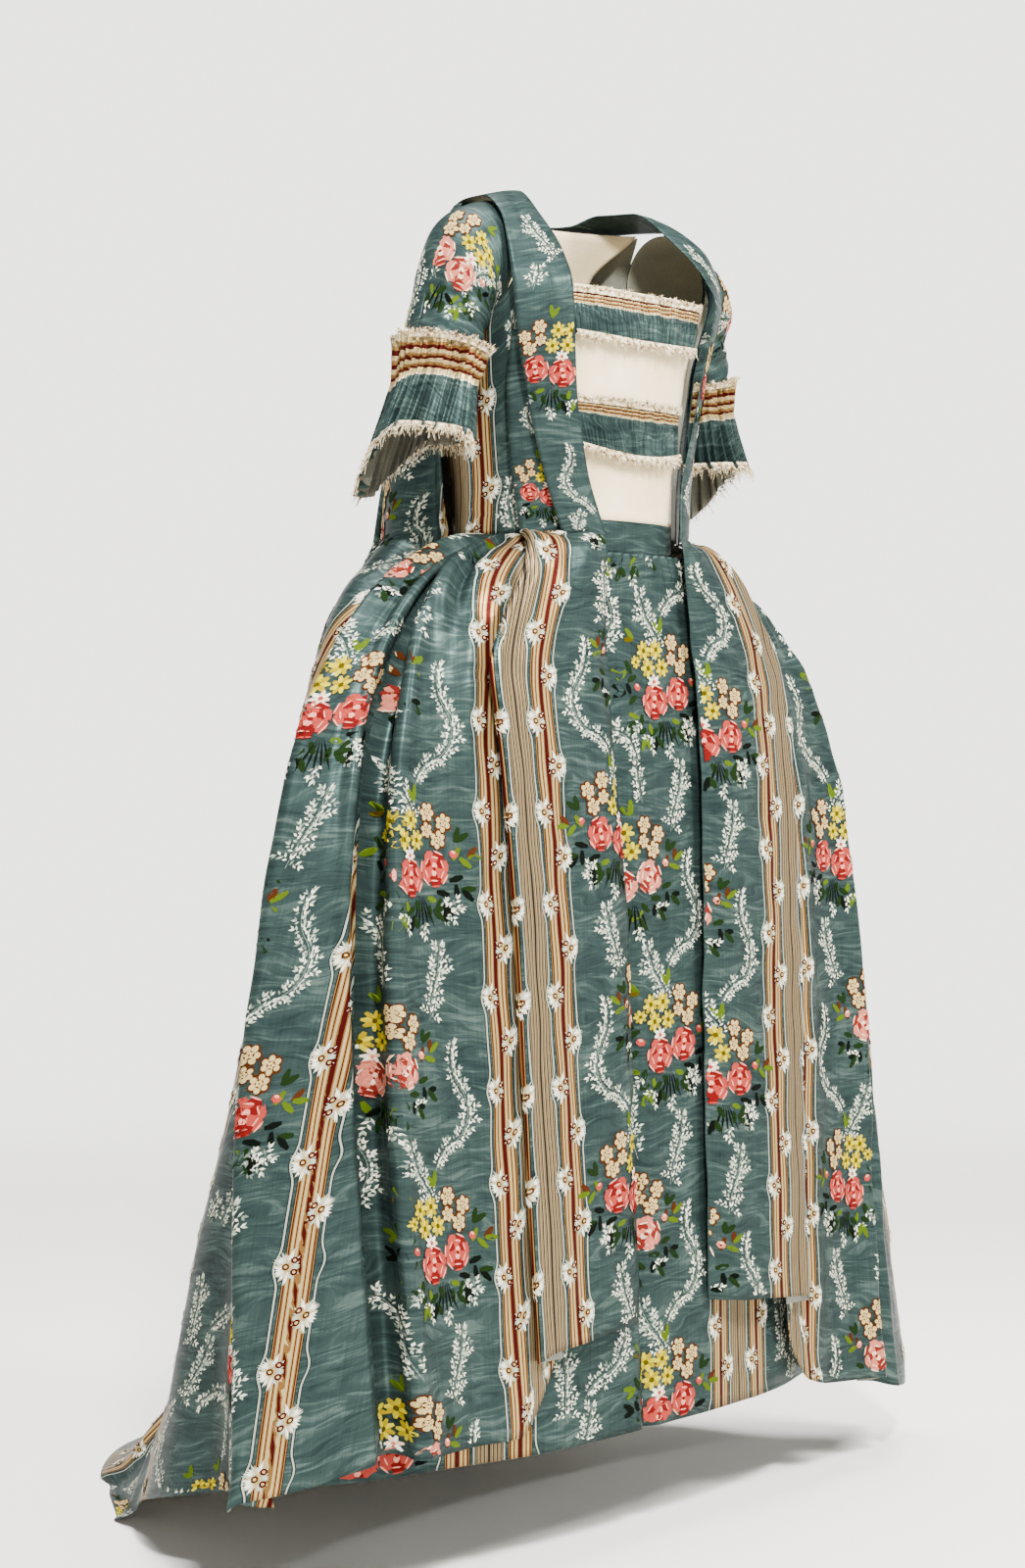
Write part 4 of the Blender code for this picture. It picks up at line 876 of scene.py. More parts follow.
# ---------------------------------------------------------------- stomacher
# A stiffened linen front, filled in between the robings, with two ruffled bands sewn across it. Each band is a
# strip of stripe over a frill of blue silk, with fly fringe along both edges.
STOMACHER_TOP, STOMACHER_BOTTOM, STOMACHER_LIFT = 1.284, BAND_TOP + 0.0003, -0.0060
STOMACHER_TUCKED, RUFFLE_INSET = 0.014, 0.012
RUFFLE_GATHERS, RUFFLE_PUCKERS = 31, 47
RUFFLE_LIFT = STOMACHER_LIFT + 0.0023
Ruffle = namedtuple("Ruffle", "name top bottom sag waves")
RUFFLES = (Ruffle("upper", 1.279, 1.231, 0.004, 7), Ruffle("lower", 1.168, 1.118, 0.010, 7))


def stomacher_half(height):
    """Half the width of the stomacher that shows between the robings."""
    return smooth_read([1.03, 1.10, 1.20, 1.29], [0.070, 0.088, 0.106, 0.112], height)


def on_chest(x, height, lift):
    """Points on the front of the bodice, x across from the centre line."""
    low, high = np.zeros(np.shape(x)), side_way(bodice_form, height)
    for _ in range(24):
        middle = (low + high) / 2
        over = on_form(bodice_form, middle, height, 0 * middle, LEFT)[..., 0] > np.abs(x)
        low, high = np.where(over, low, middle), np.where(over, middle, high)
    return halved(on_form(bodice_form, (low + high) / 2, height, lift, LEFT), x)


def stomacher_front(u, v):
    """The linen, with its sides tucked under the robings."""
    height = STOMACHER_TOP + (STOMACHER_BOTTOM - STOMACHER_TOP) * v
    return on_chest((2 * u - 1) * (stomacher_half(height) + STOMACHER_TUCKED), height, STOMACHER_LIFT + 0 * u)


hang_cloth("stomacher", 40, 40, stomacher_front, linen, linen, WHOLE,
           [Crease(0.5, 0.4, 0.12, 88, 0.01, 0.0006), Crease(0.3, 0.75, 0.08, 20, 0.006, -0.0006)])

# The trimming's own cloth: across its drop run the fringe's braid, the stripes and the blue frill.
trimming, given, result = shader_group(
    "striped_and_blue_trimming",
    (("Cloth", "Vector", None), ("Drop", "Float", 0.05), ("Stripes End", "Float", 0.4),
     ("Blue", "Color", (0, 0, 0, 1))),
    (("Color", "Color"),))
stripes_end = given.outputs["Stripes End"]
place = node(trimming, "SeparateXYZ", in0=given.outputs["Cloth"])
wobble = node(trimming, "TexNoise", {"noise_dimensions": "1D"}, W=place.outputs[0], Scale=60.0, Detail=2.0)
down_it = maths(trimming, "DIVIDE", place.outputs[1], given.outputs["Drop"])
down_it = maths(trimming, "ADD", down_it, maths(trimming, "MULTIPLY_ADD", wobble, 0.05, -0.025))
stripe = ramp(trimming, remap(trimming, down_it, 0.0, stripes_end), [
    (0.00, CREAM), (0.22, GOLD), (0.30, RUST), (0.38, CREAM), (0.48, GOLD), (0.54, RUST), (0.61, CREAM),
    (0.70, GOLD), (0.77, RUST), (0.83, CREAM), (0.95, linear(176, 164, 134))], "CONSTANT")
frilled = mix(trimming, maths(trimming, "GREATER_THAN", down_it, stripes_end), stripe, given.outputs["Blue"])
gathers = node(trimming, "TexNoise", {"noise_dimensions": "1D"}, W=place.outputs[0], Scale=260.0, Detail=2.0)
shadows = remap(trimming, gathers, 0.35, 0.60, 0.55, 1.05)
feed(trimming, result, Color=mix(trimming, 1.0, frilled, shadows, "MULTIPLY"))


def trim_cloth(name, drop, stripes_end):
    """Gathered trimming of that drop, striped down to a share of it and blue below."""
    made, tree, shader = new_material(name)
    cloth, blue = blue_sheen(tree, shader, 0.15, 0.0005)
    trim = node(tree, "Group", {"node_tree": trimming}, Cloth=cloth, Drop=drop, Stripes_End=stripes_end, Blue=blue)
    feed(tree, shader, Base_Color=trim)
    return made


def ruffle_height(row, turn, down):
    """A sewn band's height, sagging towards its middle."""
    return row.top + (row.bottom - row.top) * down - row.sag * (1 - turn * turn) * down


ruffle_cloth = trim_cloth("stomacher_trimming", 0.052, 0.34)
for row in RUFFLES:

    def ruffle(u, v, row=row):
        turn = 2 * u - 1
        height = ruffle_height(row, turn, v)
        gather = 0.0016 * np.sin(2 * np.pi * RUFFLE_GATHERS * u + 3 * np.sin(9 * u)) * np.clip((v - 0.34) * 4, 0, 1)
        pucker = 0.0009 * np.sin(2 * np.pi * RUFFLE_PUCKERS * u) * np.clip(1 - np.abs(v - 0.2) * 6, 0, 1)
        wave = 0.0022 * v * np.sin(2 * np.pi * row.waves * u)
        return on_chest(turn * (stomacher_half(height) - RUFFLE_INSET), height,
                        RUFFLE_LIFT + 0.004 * v + wave + 0.7 * gather + pucker)

    hang_cloth(f"stomacher_ruffle_{row.name}", 260, 18, ruffle, ruffle_cloth, lining, wall=TRIMMING_THICK)

# ---------------------------------------------------------------- sleeves
# Close elbow sleeves. Each ends in a flounce, gathered on two lines and longer behind the elbow: stripes above,
# blue below, fly fringe on both edges.
Cuff = namedtuple("Cuff", "x y z lean half_rise half_depth")
SLEEVE = (
    Cuff(0.142, -0.007, 1.3085, -8, 0.0630, 0.0530),
    Cuff(0.172, -0.013, 1.298, 16, 0.0535, 0.0475),
    Cuff(0.188, -0.018, 1.273, 44, 0.0440, 0.0440),
    Cuff(0.198, -0.018, 1.243, 66, 0.0400, 0.0410),
    Cuff(0.2095, -0.018, 1.212, 78, 0.0380, 0.0390),
    Cuff(0.2155, -0.016, 1.186, 82, 0.0370, 0.0380),
)
FLOUNCE = (
    Cuff(0.2090, -0.018, 1.214, 78, 0.0446, 0.0456),
    Cuff(0.2130, -0.017, 1.194, 80, 0.0436, 0.0446),
    Cuff(0.2205, -0.014, 1.170, 82, 0.0445, 0.0460),
    Cuff(0.2285, -0.010, 1.145, 84, 0.0475, 0.0500),
    Cuff(0.2370, -0.006, 1.121, 86, 0.0510, 0.0550),
)
FLOUNCE_WAVES, FLOUNCE_FINE_WAVES, FLOUNCE_LENGTH, ELBOW_DROP = 30, 47, 0.098, 0.075
SLEEVE_ACROSS, SLEEVE_DOWN = 64, 54


def tube_point(table, turn, v, swell, side):
    """Points of a sleeve: turn 0 to 1 round it from the top of the arm, v along it."""
    ring = Cuff(*(spread(column, v) for column in zip(*table)))
    angle, lean = 2 * np.pi * turn, np.radians(ring.lean)
    x = ring.x + np.sin(lean) * (ring.half_rise + swell) * np.cos(angle)
    y = ring.y + (ring.half_depth + swell) * np.sin(angle)
    z = ring.z + np.cos(lean) * (ring.half_rise + swell) * np.cos(angle)
    return np.stack([x * side, y, z], axis=-1)


def elbow(turn):
    """1 behind the elbow, 0 at the inner bend of the arm."""
    return np.maximum(0.0, np.sin(2 * np.pi * turn) * 0.8 + np.cos(2 * np.pi * turn) * 0.35) ** 1.6


def flounce_envelope(u, v, side, out):
    """Points of a flounce, out from its smooth form."""
    point = tube_point(FLOUNCE, u, v, out, side)
    point[..., 2] -= ELBOW_DROP * elbow(u) * v**1.5
    return point


flounce_cloth = trim_cloth("cuff_trimming", FLOUNCE_LENGTH, 0.40)
sleeve_lining = plain_weave("cuff_lining", linear(52, 54, 44), linear(86, 82, 64), 700.0, 0.8)
for word, side in SIDES:

    def sleeve(u, v, side=side):
        return tube_point(SLEEVE, u, v, 0 * u, side)

    hang_cloth(f"sleeve_{word}", SLEEVE_ACROSS, SLEEVE_DOWN, sleeve, blue_silk, lining,
               [Width(0.0, 1.0, 0.875, 0.2, 1, 0.0)],
               [Crease(0.76, 0.50, 0.08, 24, 0.006, -0.0050), Crease(0.72, 0.64, 0.08, 12, 0.006, -0.0045),
                Crease(0.84, 0.72, 0.07, -15, 0.005, 0.0034), Crease(0.90, 0.58, 0.09, 35, 0.007, -0.0034),
                Crease(0.97, 0.74, 0.08, -20, 0.006, 0.0030), Crease(0.30, 0.6, 0.06, 20, 0.006, -0.0025),
                Crease(0.92, 0.25, 0.05, 60, 0.006, -0.0018), Crease(0.5, 0.5, 0.05, 5, 0.006, -0.0025)],
               tube=True, inside=(side * 0.19, -0.015))

    def flounce(u, v, side=side):
        phase = 1.7 * np.sin(2 * np.pi * 3 * u) + 0.8 * np.sin(2 * np.pi * 5 * u + 1)
        fine = 0.45 * np.cos(2 * np.pi * FLOUNCE_FINE_WAVES * u - phase)
        gather = np.cos(2 * np.pi * FLOUNCE_WAVES * u + phase) + fine
        gather = gather * (1 + 0.5 * np.sin(2 * np.pi * (4 * u + 0.6 * v)))
        gather = gather + 0.9 * np.sin(2 * np.pi * 9 * u + 3 * v + 1)
        open_out = 0.0012 + 0.0022 * np.abs(2 * v - 0.9)
        gathering_lines = -0.0012 * np.exp(-((v - 0.40) / 0.05) ** 2) + 0.0012 * np.exp(-((v - 0.22) / 0.10) ** 2)
        return flounce_envelope(u, v, side, open_out * gather + gathering_lines)

    hang_cloth(f"flounce_{word}", 300, 34, flounce, flounce_cloth, sleeve_lining, wall=TRIMMING_THICK, tube=True,
               inside=(side * 0.222, -0.012))

# ---------------------------------------------------------------- fly fringe
# Tufts of cream floss knotted on a narrow braid, sewn along the edges of the trimming. The ends stand out
# unevenly.
STRANDS, STRAND_HALF, TUFT_KNOT = 6, 0.00040, 0.0013
BRAID_STEPS, BRAID_WIDE = 160, 0.0050
CUFF_TUFTS, RUFFLE_TUFTS, RUFFLE_FRINGE_LONG, OFF_CUFF, OFF_RUFFLE = 84, 60, 0.0090, 0.0030, 0.0008
floss, tree, shader = new_material("floss")
mottle = node(tree, "TexNoise", Vector=node(tree, "TexCoord").outputs["Object"], Scale=240.0, Detail=2.0)
tint = ramp(tree, mottle, [(0.34, linear(92, 72, 44)), (0.48, linear(180, 160, 122)), (0.66, linear(230, 220, 196))])
feed(tree, shader, Base_Color=tint, Roughness=0.8, Specular_IOR_Level=0.1)


def fly_fringe(node_name, edge, tufts, hang, length, seed):
    """Tufts of floss on a braid. edge(u, t, out) is a point beside the cloth's edge, as the solid has it."""
    dice = random.Random(seed)
    form = bmesh.new()
    strands = [(dice.random(), k) for k in range(tufts) for _ in range(STRANDS)]
    at = np.array([((k + 0.5 + dice.uniform(-0.24, 0.24)) / tufts) % 1.0 for _, k in strands])
    fullness = [dice.uniform(0.65, 1.30) for _ in range(tufts)]
    swing = np.array([dice.uniform(-1, 1) for _ in strands])
    reach = np.array([dice.uniform(0.45, 1.0) * fullness[k] for _, k in strands]) * length
    away = np.array([dice.uniform(0.1, 0.75) for _ in strands])
    curl = np.array([dice.uniform(-0.5, 0.5) for _ in strands])
    none = np.zeros(len(strands))
    root = edge(at, np.array([dice.uniform(-0.001, 0.001) for _ in strands]), none + 0.0002)
    start = edge(at, none, none)
    fall, off = edge(at, none + 0.004, none) - start, edge(at, none, none + 0.004) - start
    fall /= np.linalg.norm(fall, axis=1)[:, None]
    off /= np.linalg.norm(off, axis=1)[:, None]
    beside = np.cross(fall, off)
    for k in range(len(strands)):
        direction = fall[k] * hang + off[k] * away[k] + beside[k] * swing[k] * 0.7
        direction /= np.linalg.norm(direction)
        middle = root[k] + direction * reach[k] * 0.55
        tip = root[k] + (direction + beside[k] * curl[k] - np.array([0, 0, 0.25])) * reach[k]
        for vert in bmesh.ops.create_cone(form, segments=3, radius1=1.0, radius2=1.0, depth=1.0)["verts"]:
            end, thick = (root[k], STRAND_HALF) if vert.co.z < 0 else (tip, STRAND_HALF * 0.6)
            vert.co = Vector(end + (beside[k] * vert.co.x + off[k] * vert.co.y) * thick)
        knotted = bmesh.ops.create_icosphere(form, subdivisions=1, radius=1.0)["verts"] if k % 3 == 0 else ()
        for vert in knotted:
            vert.co = Vector(middle) + vert.co * TUFT_KNOT * dice.uniform(0.7, 1.3)
    braid = bmesh.ops.create_grid(form, x_segments=BRAID_STEPS, y_segments=2, size=0.5)["verts"]
    u = np.array([vert.co.x + 0.5 for vert in braid])
    t = np.array([-vert.co.y * BRAID_WIDE for vert in braid])
    rise = np.array([0.0010 * (1 - abs(vert.co.y) * 2) + 0.0003 for vert in braid]) + 0.0004 * np.sin(u * 900)
    for vert, co in zip(braid, edge(u, t, rise)):
        vert.co = Vector(co)
    for vert in form.verts:
        vert.co = Vector(posed(np.array(vert.co)))
    bmesh.ops.recalc_face_normals(form, faces=form.faces)
    made = meshed(node_name + "_floss", form, floss)
    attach(made, "root")
    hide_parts(node_name)


for word, side in SIDES:
    for which, v_at, hang, length in (("upper", 0.05, -1, 0.0120), ("lower", 0.95, 1, 0.0150)):

        def cuff_edge(u, t, out, v_at=v_at, side=side):
            long = FLOUNCE_LENGTH + ELBOW_DROP * elbow(u)
            return flounce_envelope(u, v_at + t / long, side, OFF_CUFF + out)

        fly_fringe(f"flounce_fringe_{which}_{word}", cuff_edge, CUFF_TUFTS, hang, length, 5 + side + v_at)
for row in RUFFLES:
    for which, v_at, hang in (("upper", 0.045, -1), ("lower", 0.955, 1)):

        def ruffle_edge(u, t, out, v_at=v_at, row=row):
            down = v_at + t / (row.top - row.bottom)
            turn = 2 * u - 1
            height = ruffle_height(row, turn, down)
            return on_chest(turn * (stomacher_half(height) - RUFFLE_INSET), height,
                            RUFFLE_LIFT + 0.0062 * down + OFF_RUFFLE + out)

        fly_fringe(f"stomacher_fringe_{row.name}_{which}", ruffle_edge, RUFFLE_TUFTS, hang, RUFFLE_FRINGE_LONG,
                   40 + v_at)

# ---------------------------------------------------------------- woven flowers
# Brocaded posies, white leafy garlands and the cream knots on the stripes. Each is worked in floss on the face
# of the silk, so it stands a thread's thickness proud of it.
woven, tree, shader = new_material("brocading_floss")
dye = node(tree, "Attribute", {"attribute_name": "dye"})
thread = node(tree, "TexNoise", Vector=node(tree, "TexCoord").outputs["Object"], Scale=900.0, Detail=2.0)
tint = mix(tree, 1.0, dye.outputs["Color"], remap(tree, thread, 0.3, 0.7, 0.72, 1.12), "MULTIPLY")
bump = node(tree, "Bump", Height=thread, Strength=0.3, Distance=0.0004)
feed(tree, shader, Base_Color=tint, Normal=bump, Roughness=0.7, Specular_IOR_Level=0.02)

RED, CORAL, BLUSH = linear(96, 14, 14), linear(148, 54, 46), linear(208, 134, 116)
DEEP_PINK, PINK, PALE = linear(104, 30, 24), linear(176, 102, 84), linear(214, 182, 154)
YELLOW, LEMON, OLIVE = linear(146, 126, 0), linear(180, 166, 16), linear(70, 60, 2)
BROWN, STRAW = linear(62, 30, 10), linear(178, 154, 104)
LEAF, DARK_LEAF, BLACK_LEAF = linear(66, 84, 12), linear(18, 34, 10), linear(6, 10, 6)
SILVER, WHITE, SHADOW_WHITE = linear(160, 168, 150), linear(216, 214, 194), linear(104, 116, 106)


def stitch(form, x, y, long, wide, turn, colour, level, points=8):
    """One floss shape: an oval of that length and width, turned, with its dye. Four points make a leaf."""
    oval = Matrix.Diagonal((long / 2, wide / 2, 1, 1))
    place = Matrix.Translation((x, y, level)) @ Matrix.Rotation(turn, 4, "Z") @ oval
    made = bmesh.ops.create_circle(
        form, cap_ends=True, cap_tris=points > 6, segments=points, radius=1.0, matrix=place)["verts"]
    dye_layer = form.loops.layers.float_color["dye"]
    for face in {face for vert in made for face in vert.link_faces}:
        for loop in face.loops:
            loop[dye_layer] = colour


def ring_of(form, dice, x, y, count, out, long, wide, colours, level, points=6, start=0.0):
    """Petals set round a middle."""
    for k in range(count):
        angle = start + k * 2 * math.pi / count + dice.uniform(-0.12, 0.12)
        stitch(form, x + out * math.cos(angle), y + out * math.sin(angle), long * dice.uniform(0.9, 1.1), wide, angle,
               colours[k % len(colours)], level + 0.00002 * k, points)


def flat_motif(name, draw, seed):
    """A motif worked flat, in metres of cloth, x across and y up. Its level is its height off the cloth."""
    form = bmesh.new()
    form.loops.layers.float_color.new("dye")
    draw(form, random.Random(seed))
    mesh = bpy.data.meshes.new(name)
    form.to_mesh(mesh)
    form.free()
    return mesh


def rose(form, dice, x, y, size, deep, middle, light, level):
    """A full rose of that diameter: rounds of petals, each with a light curl along its edge."""
    start = dice.uniform(0, 1)
    for count, out, long, wide, colours, rise, points, lean in (
            (7, 0.30, 0.42, 0.40, (middle, middle, deep), 0.0000, 8, 0.0),
            (7, 0.46, 0.05, 0.34, (light, middle), 0.0002, 6, 0.0),
            (6, 0.20, 0.30, 0.28, (deep, middle), 0.0003, 8, 0.4),
            (6, 0.31, 0.045, 0.26, (light,), 0.0005, 6, 0.4),
            (4, 0.09, 0.20, 0.18, (middle, light), 0.0006, 6, 0.0)):
        ring_of(form, dice, x, y, count, out * size, long * size, wide * size, colours, level + rise, points,
                start + lean)
    stitch(form, x, y, 0.13 * size, 0.11 * size, 0.3, deep, level + 0.0008, 6)


def daisy(form, dice, x, y, size, petals, centre, level, count=8):
    """A single flower: narrow petals round an eye."""
    ring_of(form, dice, x, y, count, 0.27 * size, 0.44 * size, 0.23 * size, petals, level, 6, dice.uniform(0, 1))
    stitch(form, x, y, 0.26 * size, 0.26 * size, 0, centre, level + 0.0003, 6)


def double_flower(form, dice, x, y, size, level):
    """A small double flower: cream petals outlined in brown."""
    start = dice.uniform(0, 1)
    ring_of(form, dice, x, y, 6, 0.27 * size, 0.44 * size, 0.42 * size, (BROWN,), level, 8, start)
    ring_of(form, dice, x, y, 6, 0.27 * size, 0.29 * size, 0.26 * size, (STRAW,), level + 0.0002, 8, start)
    stitch(form, x, y, 0.38 * size, 0.38 * size, 0, BROWN, level + 0.0004)
    ring_of(form, dice, x, y, 5, 0.10 * size, 0.15 * size, 0.12 * size, (STRAW,), level + 0.0005, 6, start)


def branchlet(form, dice, x, y, heading, count, size, shades, level, points=4):
    """A twig of small leaves on alternate sides, and one at its tip."""
    bend = dice.uniform(-0.25, 0.25)
    for k in range(count):
        x, y = x + 0.55 * size * math.cos(heading), y + 0.55 * size * math.sin(heading)
        heading += bend
        angle = heading + (0.80 if k % 2 else -0.80)
        stitch(form, x + 0.50 * size * math.cos(angle), y + 0.50 * size * math.sin(angle),
               size * dice.uniform(0.9, 1.3), size * 0.46, angle, dice.choice(shades), level, points)
    stitch(form, x + 0.6 * size * math.cos(heading), y + 0.6 * size * math.sin(heading), size * 1.25, size * 0.46,
           heading, dice.choice(shades), level + 0.00005, points)


# A twig grows every so far along a garland's stem, with leaves of that length.
TWIG_EVERY, LEAF_LONG = 0.0040, 0.0050


def trail(turns, reach):
    """A feathery garland, centred on itself. turns are (length, bend in radians a metre) from its foot upwards."""

    def draw(form, dice):
        x, y, heading, k = 0.0, 0.0, math.pi / 2, 0
        whole = sum(length for length, _ in turns)
        gone = 0.0
        for length, bend in turns:
            for _ in range(max(1, int(length / TWIG_EVERY))):
                heading += bend * TWIG_EVERY
                x, y = x + TWIG_EVERY * math.cos(heading), y + TWIG_EVERY * math.sin(heading)
                gone += TWIG_EVERY
                k += 1
                stitch(form, x, y, TWIG_EVERY * 1.5, 0.0009, heading, SHADOW_WHITE, 0.0002, 4)
                out = 1 if k % 2 else -1
                full = math.sin(math.pi * min(1.0, 0.15 + 0.85 * gone / whole)) ** 0.5
                branchlet(form, dice, x, y, heading + out * dice.uniform(0.70, 1.15),
                          max(1, round(reach * full + dice.uniform(-0.8, 0.8))), LEAF_LONG * dice.uniform(0.85, 1.1),
                          (WHITE, WHITE, SILVER, SILVER, SHADOW_WHITE), 0.0003)
                if k % 2 == 0:
                    branchlet(form, dice, x, y, heading - out * dice.uniform(0.5, 1.0), 1, LEAF_LONG,
                              (WHITE, SILVER), 0.00035)
        middle = sum((vert.co for vert in form.verts), Vector()) / len(form.verts)
        for vert in form.verts:
            vert.co.x -= middle.x
            vert.co.y -= middle.y

    return draw


def posy(deep, middle, light):
    """Two roses among yellow, cream and white flowers, on a bed of leaves."""

    def draw(form, dice):
        for x, y, heading, count, shades in (
                (0.034, 0.004, 0.5, 3, (LEAF, DARK_LEAF)), (0.034, -0.012, -0.1, 3, (DARK_LEAF, BLACK_LEAF)),
                (0.028, -0.026, -0.7, 3, (DARK_LEAF, LEAF)), (-0.036, -0.004, 2.8, 3, (LEAF, LEAF, BROWN)),
                (-0.032, -0.018, -2.7, 3, (DARK_LEAF, BLACK_LEAF)), (-0.006, -0.030, -1.9, 3, (LEAF, DARK_LEAF)),
                (0.006, -0.032, -1.3, 3, (BLACK_LEAF, DARK_LEAF)), (-0.018, -0.026, -2.3, 3, (BLACK_LEAF, DARK_LEAF)),
                (0.004, 0.046, 1.6, 1, (LEAF,)), (0.038, 0.040, 0.9, 1, (LEAF, OLIVE)),
                (0.020, -0.034, -1.0, 3, (LEAF, DARK_LEAF)), (-0.040, 0.012, 2.6, 1, (LEAF, DARK_LEAF))):
            branchlet(form, dice, x, y, heading, count, 0.0140, shades, 0.0003, 6)
        for lean in (-2.05, -1.85, -1.65, -1.45, -1.25):
            stitch(form, 0.024 * math.cos(lean), -0.030 + 0.024 * math.sin(lean), 0.036, 0.0024, lean, BLACK_LEAF,
                   0.0003, 4)
        for x, y, heading in ((-0.030, -0.036, -2.3), (0.034, -0.040, -0.7), (-0.006, -0.058, -1.8),
                              (0.018, -0.054, -1.2)):
            branchlet(form, dice, x, y, heading, 5, 0.0056, (WHITE, SILVER), 0.0003)
            branchlet(form, dice, x, y, heading + 0.7, 4, 0.0056, (WHITE, SHADOW_WHITE), 0.0003)
        for x, y, size in ((-0.033, 0.034, 0.022), (-0.013, 0.044, 0.022), (-0.026, 0.018, 0.022),
                           (-0.012, 0.027, 0.018)):
            double_flower(form, dice, x, y, size, 0.0005)
        for x, y, size in ((0.011, 0.036, 0.022), (0.029, 0.034, 0.022), (0.003, 0.017, 0.021),
                           (0.023, 0.016, 0.022), (0.041, 0.022, 0.015)):
            daisy(form, dice, x, y, size, (YELLOW, LEMON), OLIVE, 0.0007)
        daisy(form, dice, 0.015, 0.002, 0.018, (WHITE, PALE), middle, 0.0009, 7)
        rose(form, dice, -0.020, -0.010, 0.036, deep, middle, light, 0.0006)
        rose(form, dice, 0.015, -0.019, 0.037, deep, middle, light, 0.0010)
        for x, y in ((-0.044, 0.004), (0.040, -0.004)):
            stitch(form, x, y, 0.0100, 0.0080, 0.4, middle, 0.0004, 6)
            stitch(form, x, y + 0.002, 0.0050, 0.0030, 0.4, light, 0.0006, 6)

    return draw


def knot(form, dice):
    """The feathery wheel that ties a stripe on one side, with ringed buds. It lies to +x of the stripe."""
    stitch(form, 0.0010, 0.0, 0.0130, 0.0150, 0.0, CREAM, 0.0004)
    for k in range(46):
        angle = k * 2 * math.pi / 46 + dice.uniform(-0.06, 0.06)
        long = (0.0075 if abs(angle - math.pi) < 1.1 else 0.0105) * dice.uniform(0.60, 1.25)
        out = 0.0040 + 0.5 * long
        stitch(form, out * math.cos(angle), out * math.sin(angle), long, 0.0021, angle + dice.uniform(-0.25, 0.25),
               dice.choice((WHITE, WHITE, CREAM, SILVER, SILVER)), 0.0005 + 0.00001 * k, 4)
    for x, y in ((-0.0052, 0.0052), (-0.0058, -0.0052), (0.0024, 0.0002)):
        stitch(form, x, y, 0.0074, 0.0060, 0.3, RUST if x < 0 else BROWN, 0.0012)
        stitch(form, x, y, 0.0034, 0.0026, 0.3, STRAW, 0.0014, 6)


MOTIFS = {name: flat_motif(name, draw, seed) for seed, (name, draw) in enumerate((
    ("posy_red", posy(RED, CORAL, BLUSH)),
    ("posy_pale", posy(DEEP_PINK, PINK, PALE)),
    ("plume", trail(((0.036, 6.0), (0.040, -9.0)), 5)),
    ("hook", trail(((0.050, -6.0), (0.095, 26.0)), 3)),
    ("scroll", trail(((0.040, 20.0), (0.085, -26.0)), 3)),
    ("wave", trail(((0.040, 26.0), (0.065, -30.0), (0.045, 24.0)), 3)),
    ("sprig", trail(((0.030, 7.0),), 4)),
    ("knot", knot)), 3)}
works = {}


def work_on(name):
    """The floss work of a sheet, begun when it is first asked for."""
    if name not in works:
        form = bmesh.new()
        form.loops.layers.float_color.new("dye")
        works[name] = form
    return works[name]


# Floss lies a thread's thickness off the cloth, and stops this far short of its top and its hem.
FLOSS_LIFT, TOP_CLEAR, HEM_CLEAR = 0.0002, 0.002, 0.003


def stitch_down(name, width, motif, x, y, turn=0.0, mirror=1, size=1.0, wide=1.0):
    """Works a motif into a sheet, its middle x across the loom and y down from the top edge."""
    sheet, mesh = sheets[name], MOTIFS[motif]
    first, last, loom, fall, _ = sheet["laid"][width]
    flat = np.zeros(len(mesh.vertices) * 3)
    mesh.vertices.foreach_get("co", flat)
    flat = flat.reshape(-1, 3) * np.array([mirror * size * wide, size, 1])
    cos, sin = math.cos(turn), math.sin(turn)
    across = x + flat[:, 0] * cos - flat[:, 1] * sin
    down = y - flat[:, 0] * sin - flat[:, 1] * cos
    if down.max() < fall[0] or down.min() > fall[-1]:
        return
    j = np.clip(np.interp(down, fall, np.arange(len(fall))).astype(int), 0, len(fall) - 2)
    f = np.clip((down - fall[j]) / (fall[j + 1] - fall[j]), 0, 1)
    lines = loom[j, first:last + 1] * (1 - f[:, None]) + loom[j + 1, first:last + 1] * f[:, None]
    rising = lines[0, -1] > lines[0, 0]
    past = (lines < across[:, None]).sum(axis=1) if rising else (lines > across[:, None]).sum(axis=1)
    inside = (down > fall[0] + TOP_CLEAR) & (down < fall[-1] - HEM_CLEAR) & (past > 0) & (past < lines.shape[1])
    if not inside.any():
        return
    c = np.clip(past - 1, 0, lines.shape[1] - 2)
    every = np.arange(len(c))
    g = np.clip((across - lines[every, c]) / (lines[every, c + 1] - lines[every, c]), 0, 1)[:, None]
    c, f = c + first, f[:, None]

    def between(table):
        upper = table[j, c] * (1 - g) + table[j, c + 1] * g
        lower = table[j + 1, c] * (1 - g) + table[j + 1, c + 1] * g
        return upper * (1 - f) + lower * f

    out = between(sheet["points"]) + between(sheet["off"]) * (flat[:, 2:] + FLOSS_LIFT)
    sewn = mesh.copy()
    sewn.vertices.foreach_set("co", out.ravel())
    mark = sewn.attributes.new("off_the_cloth", "INT", "POINT")
    mark.data.foreach_set("value", (~inside).astype(np.int32))
    work_on(name).from_mesh(sewn)
    bpy.data.meshes.remove(sewn)


def finish_work(name, form):
    """Trims the floss work to its sheet, and turns it into a piece that rides with it."""
    mark = form.verts.layers.int.get("off_the_cloth")
    bmesh.ops.delete(form, geom=[vert for vert in form.verts if mark is None or vert[mark]], context="VERTS")
    for face in form.faces:
        face.smooth = False
    made = meshed(name + "_flowers", form, woven)
    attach(made, "root")


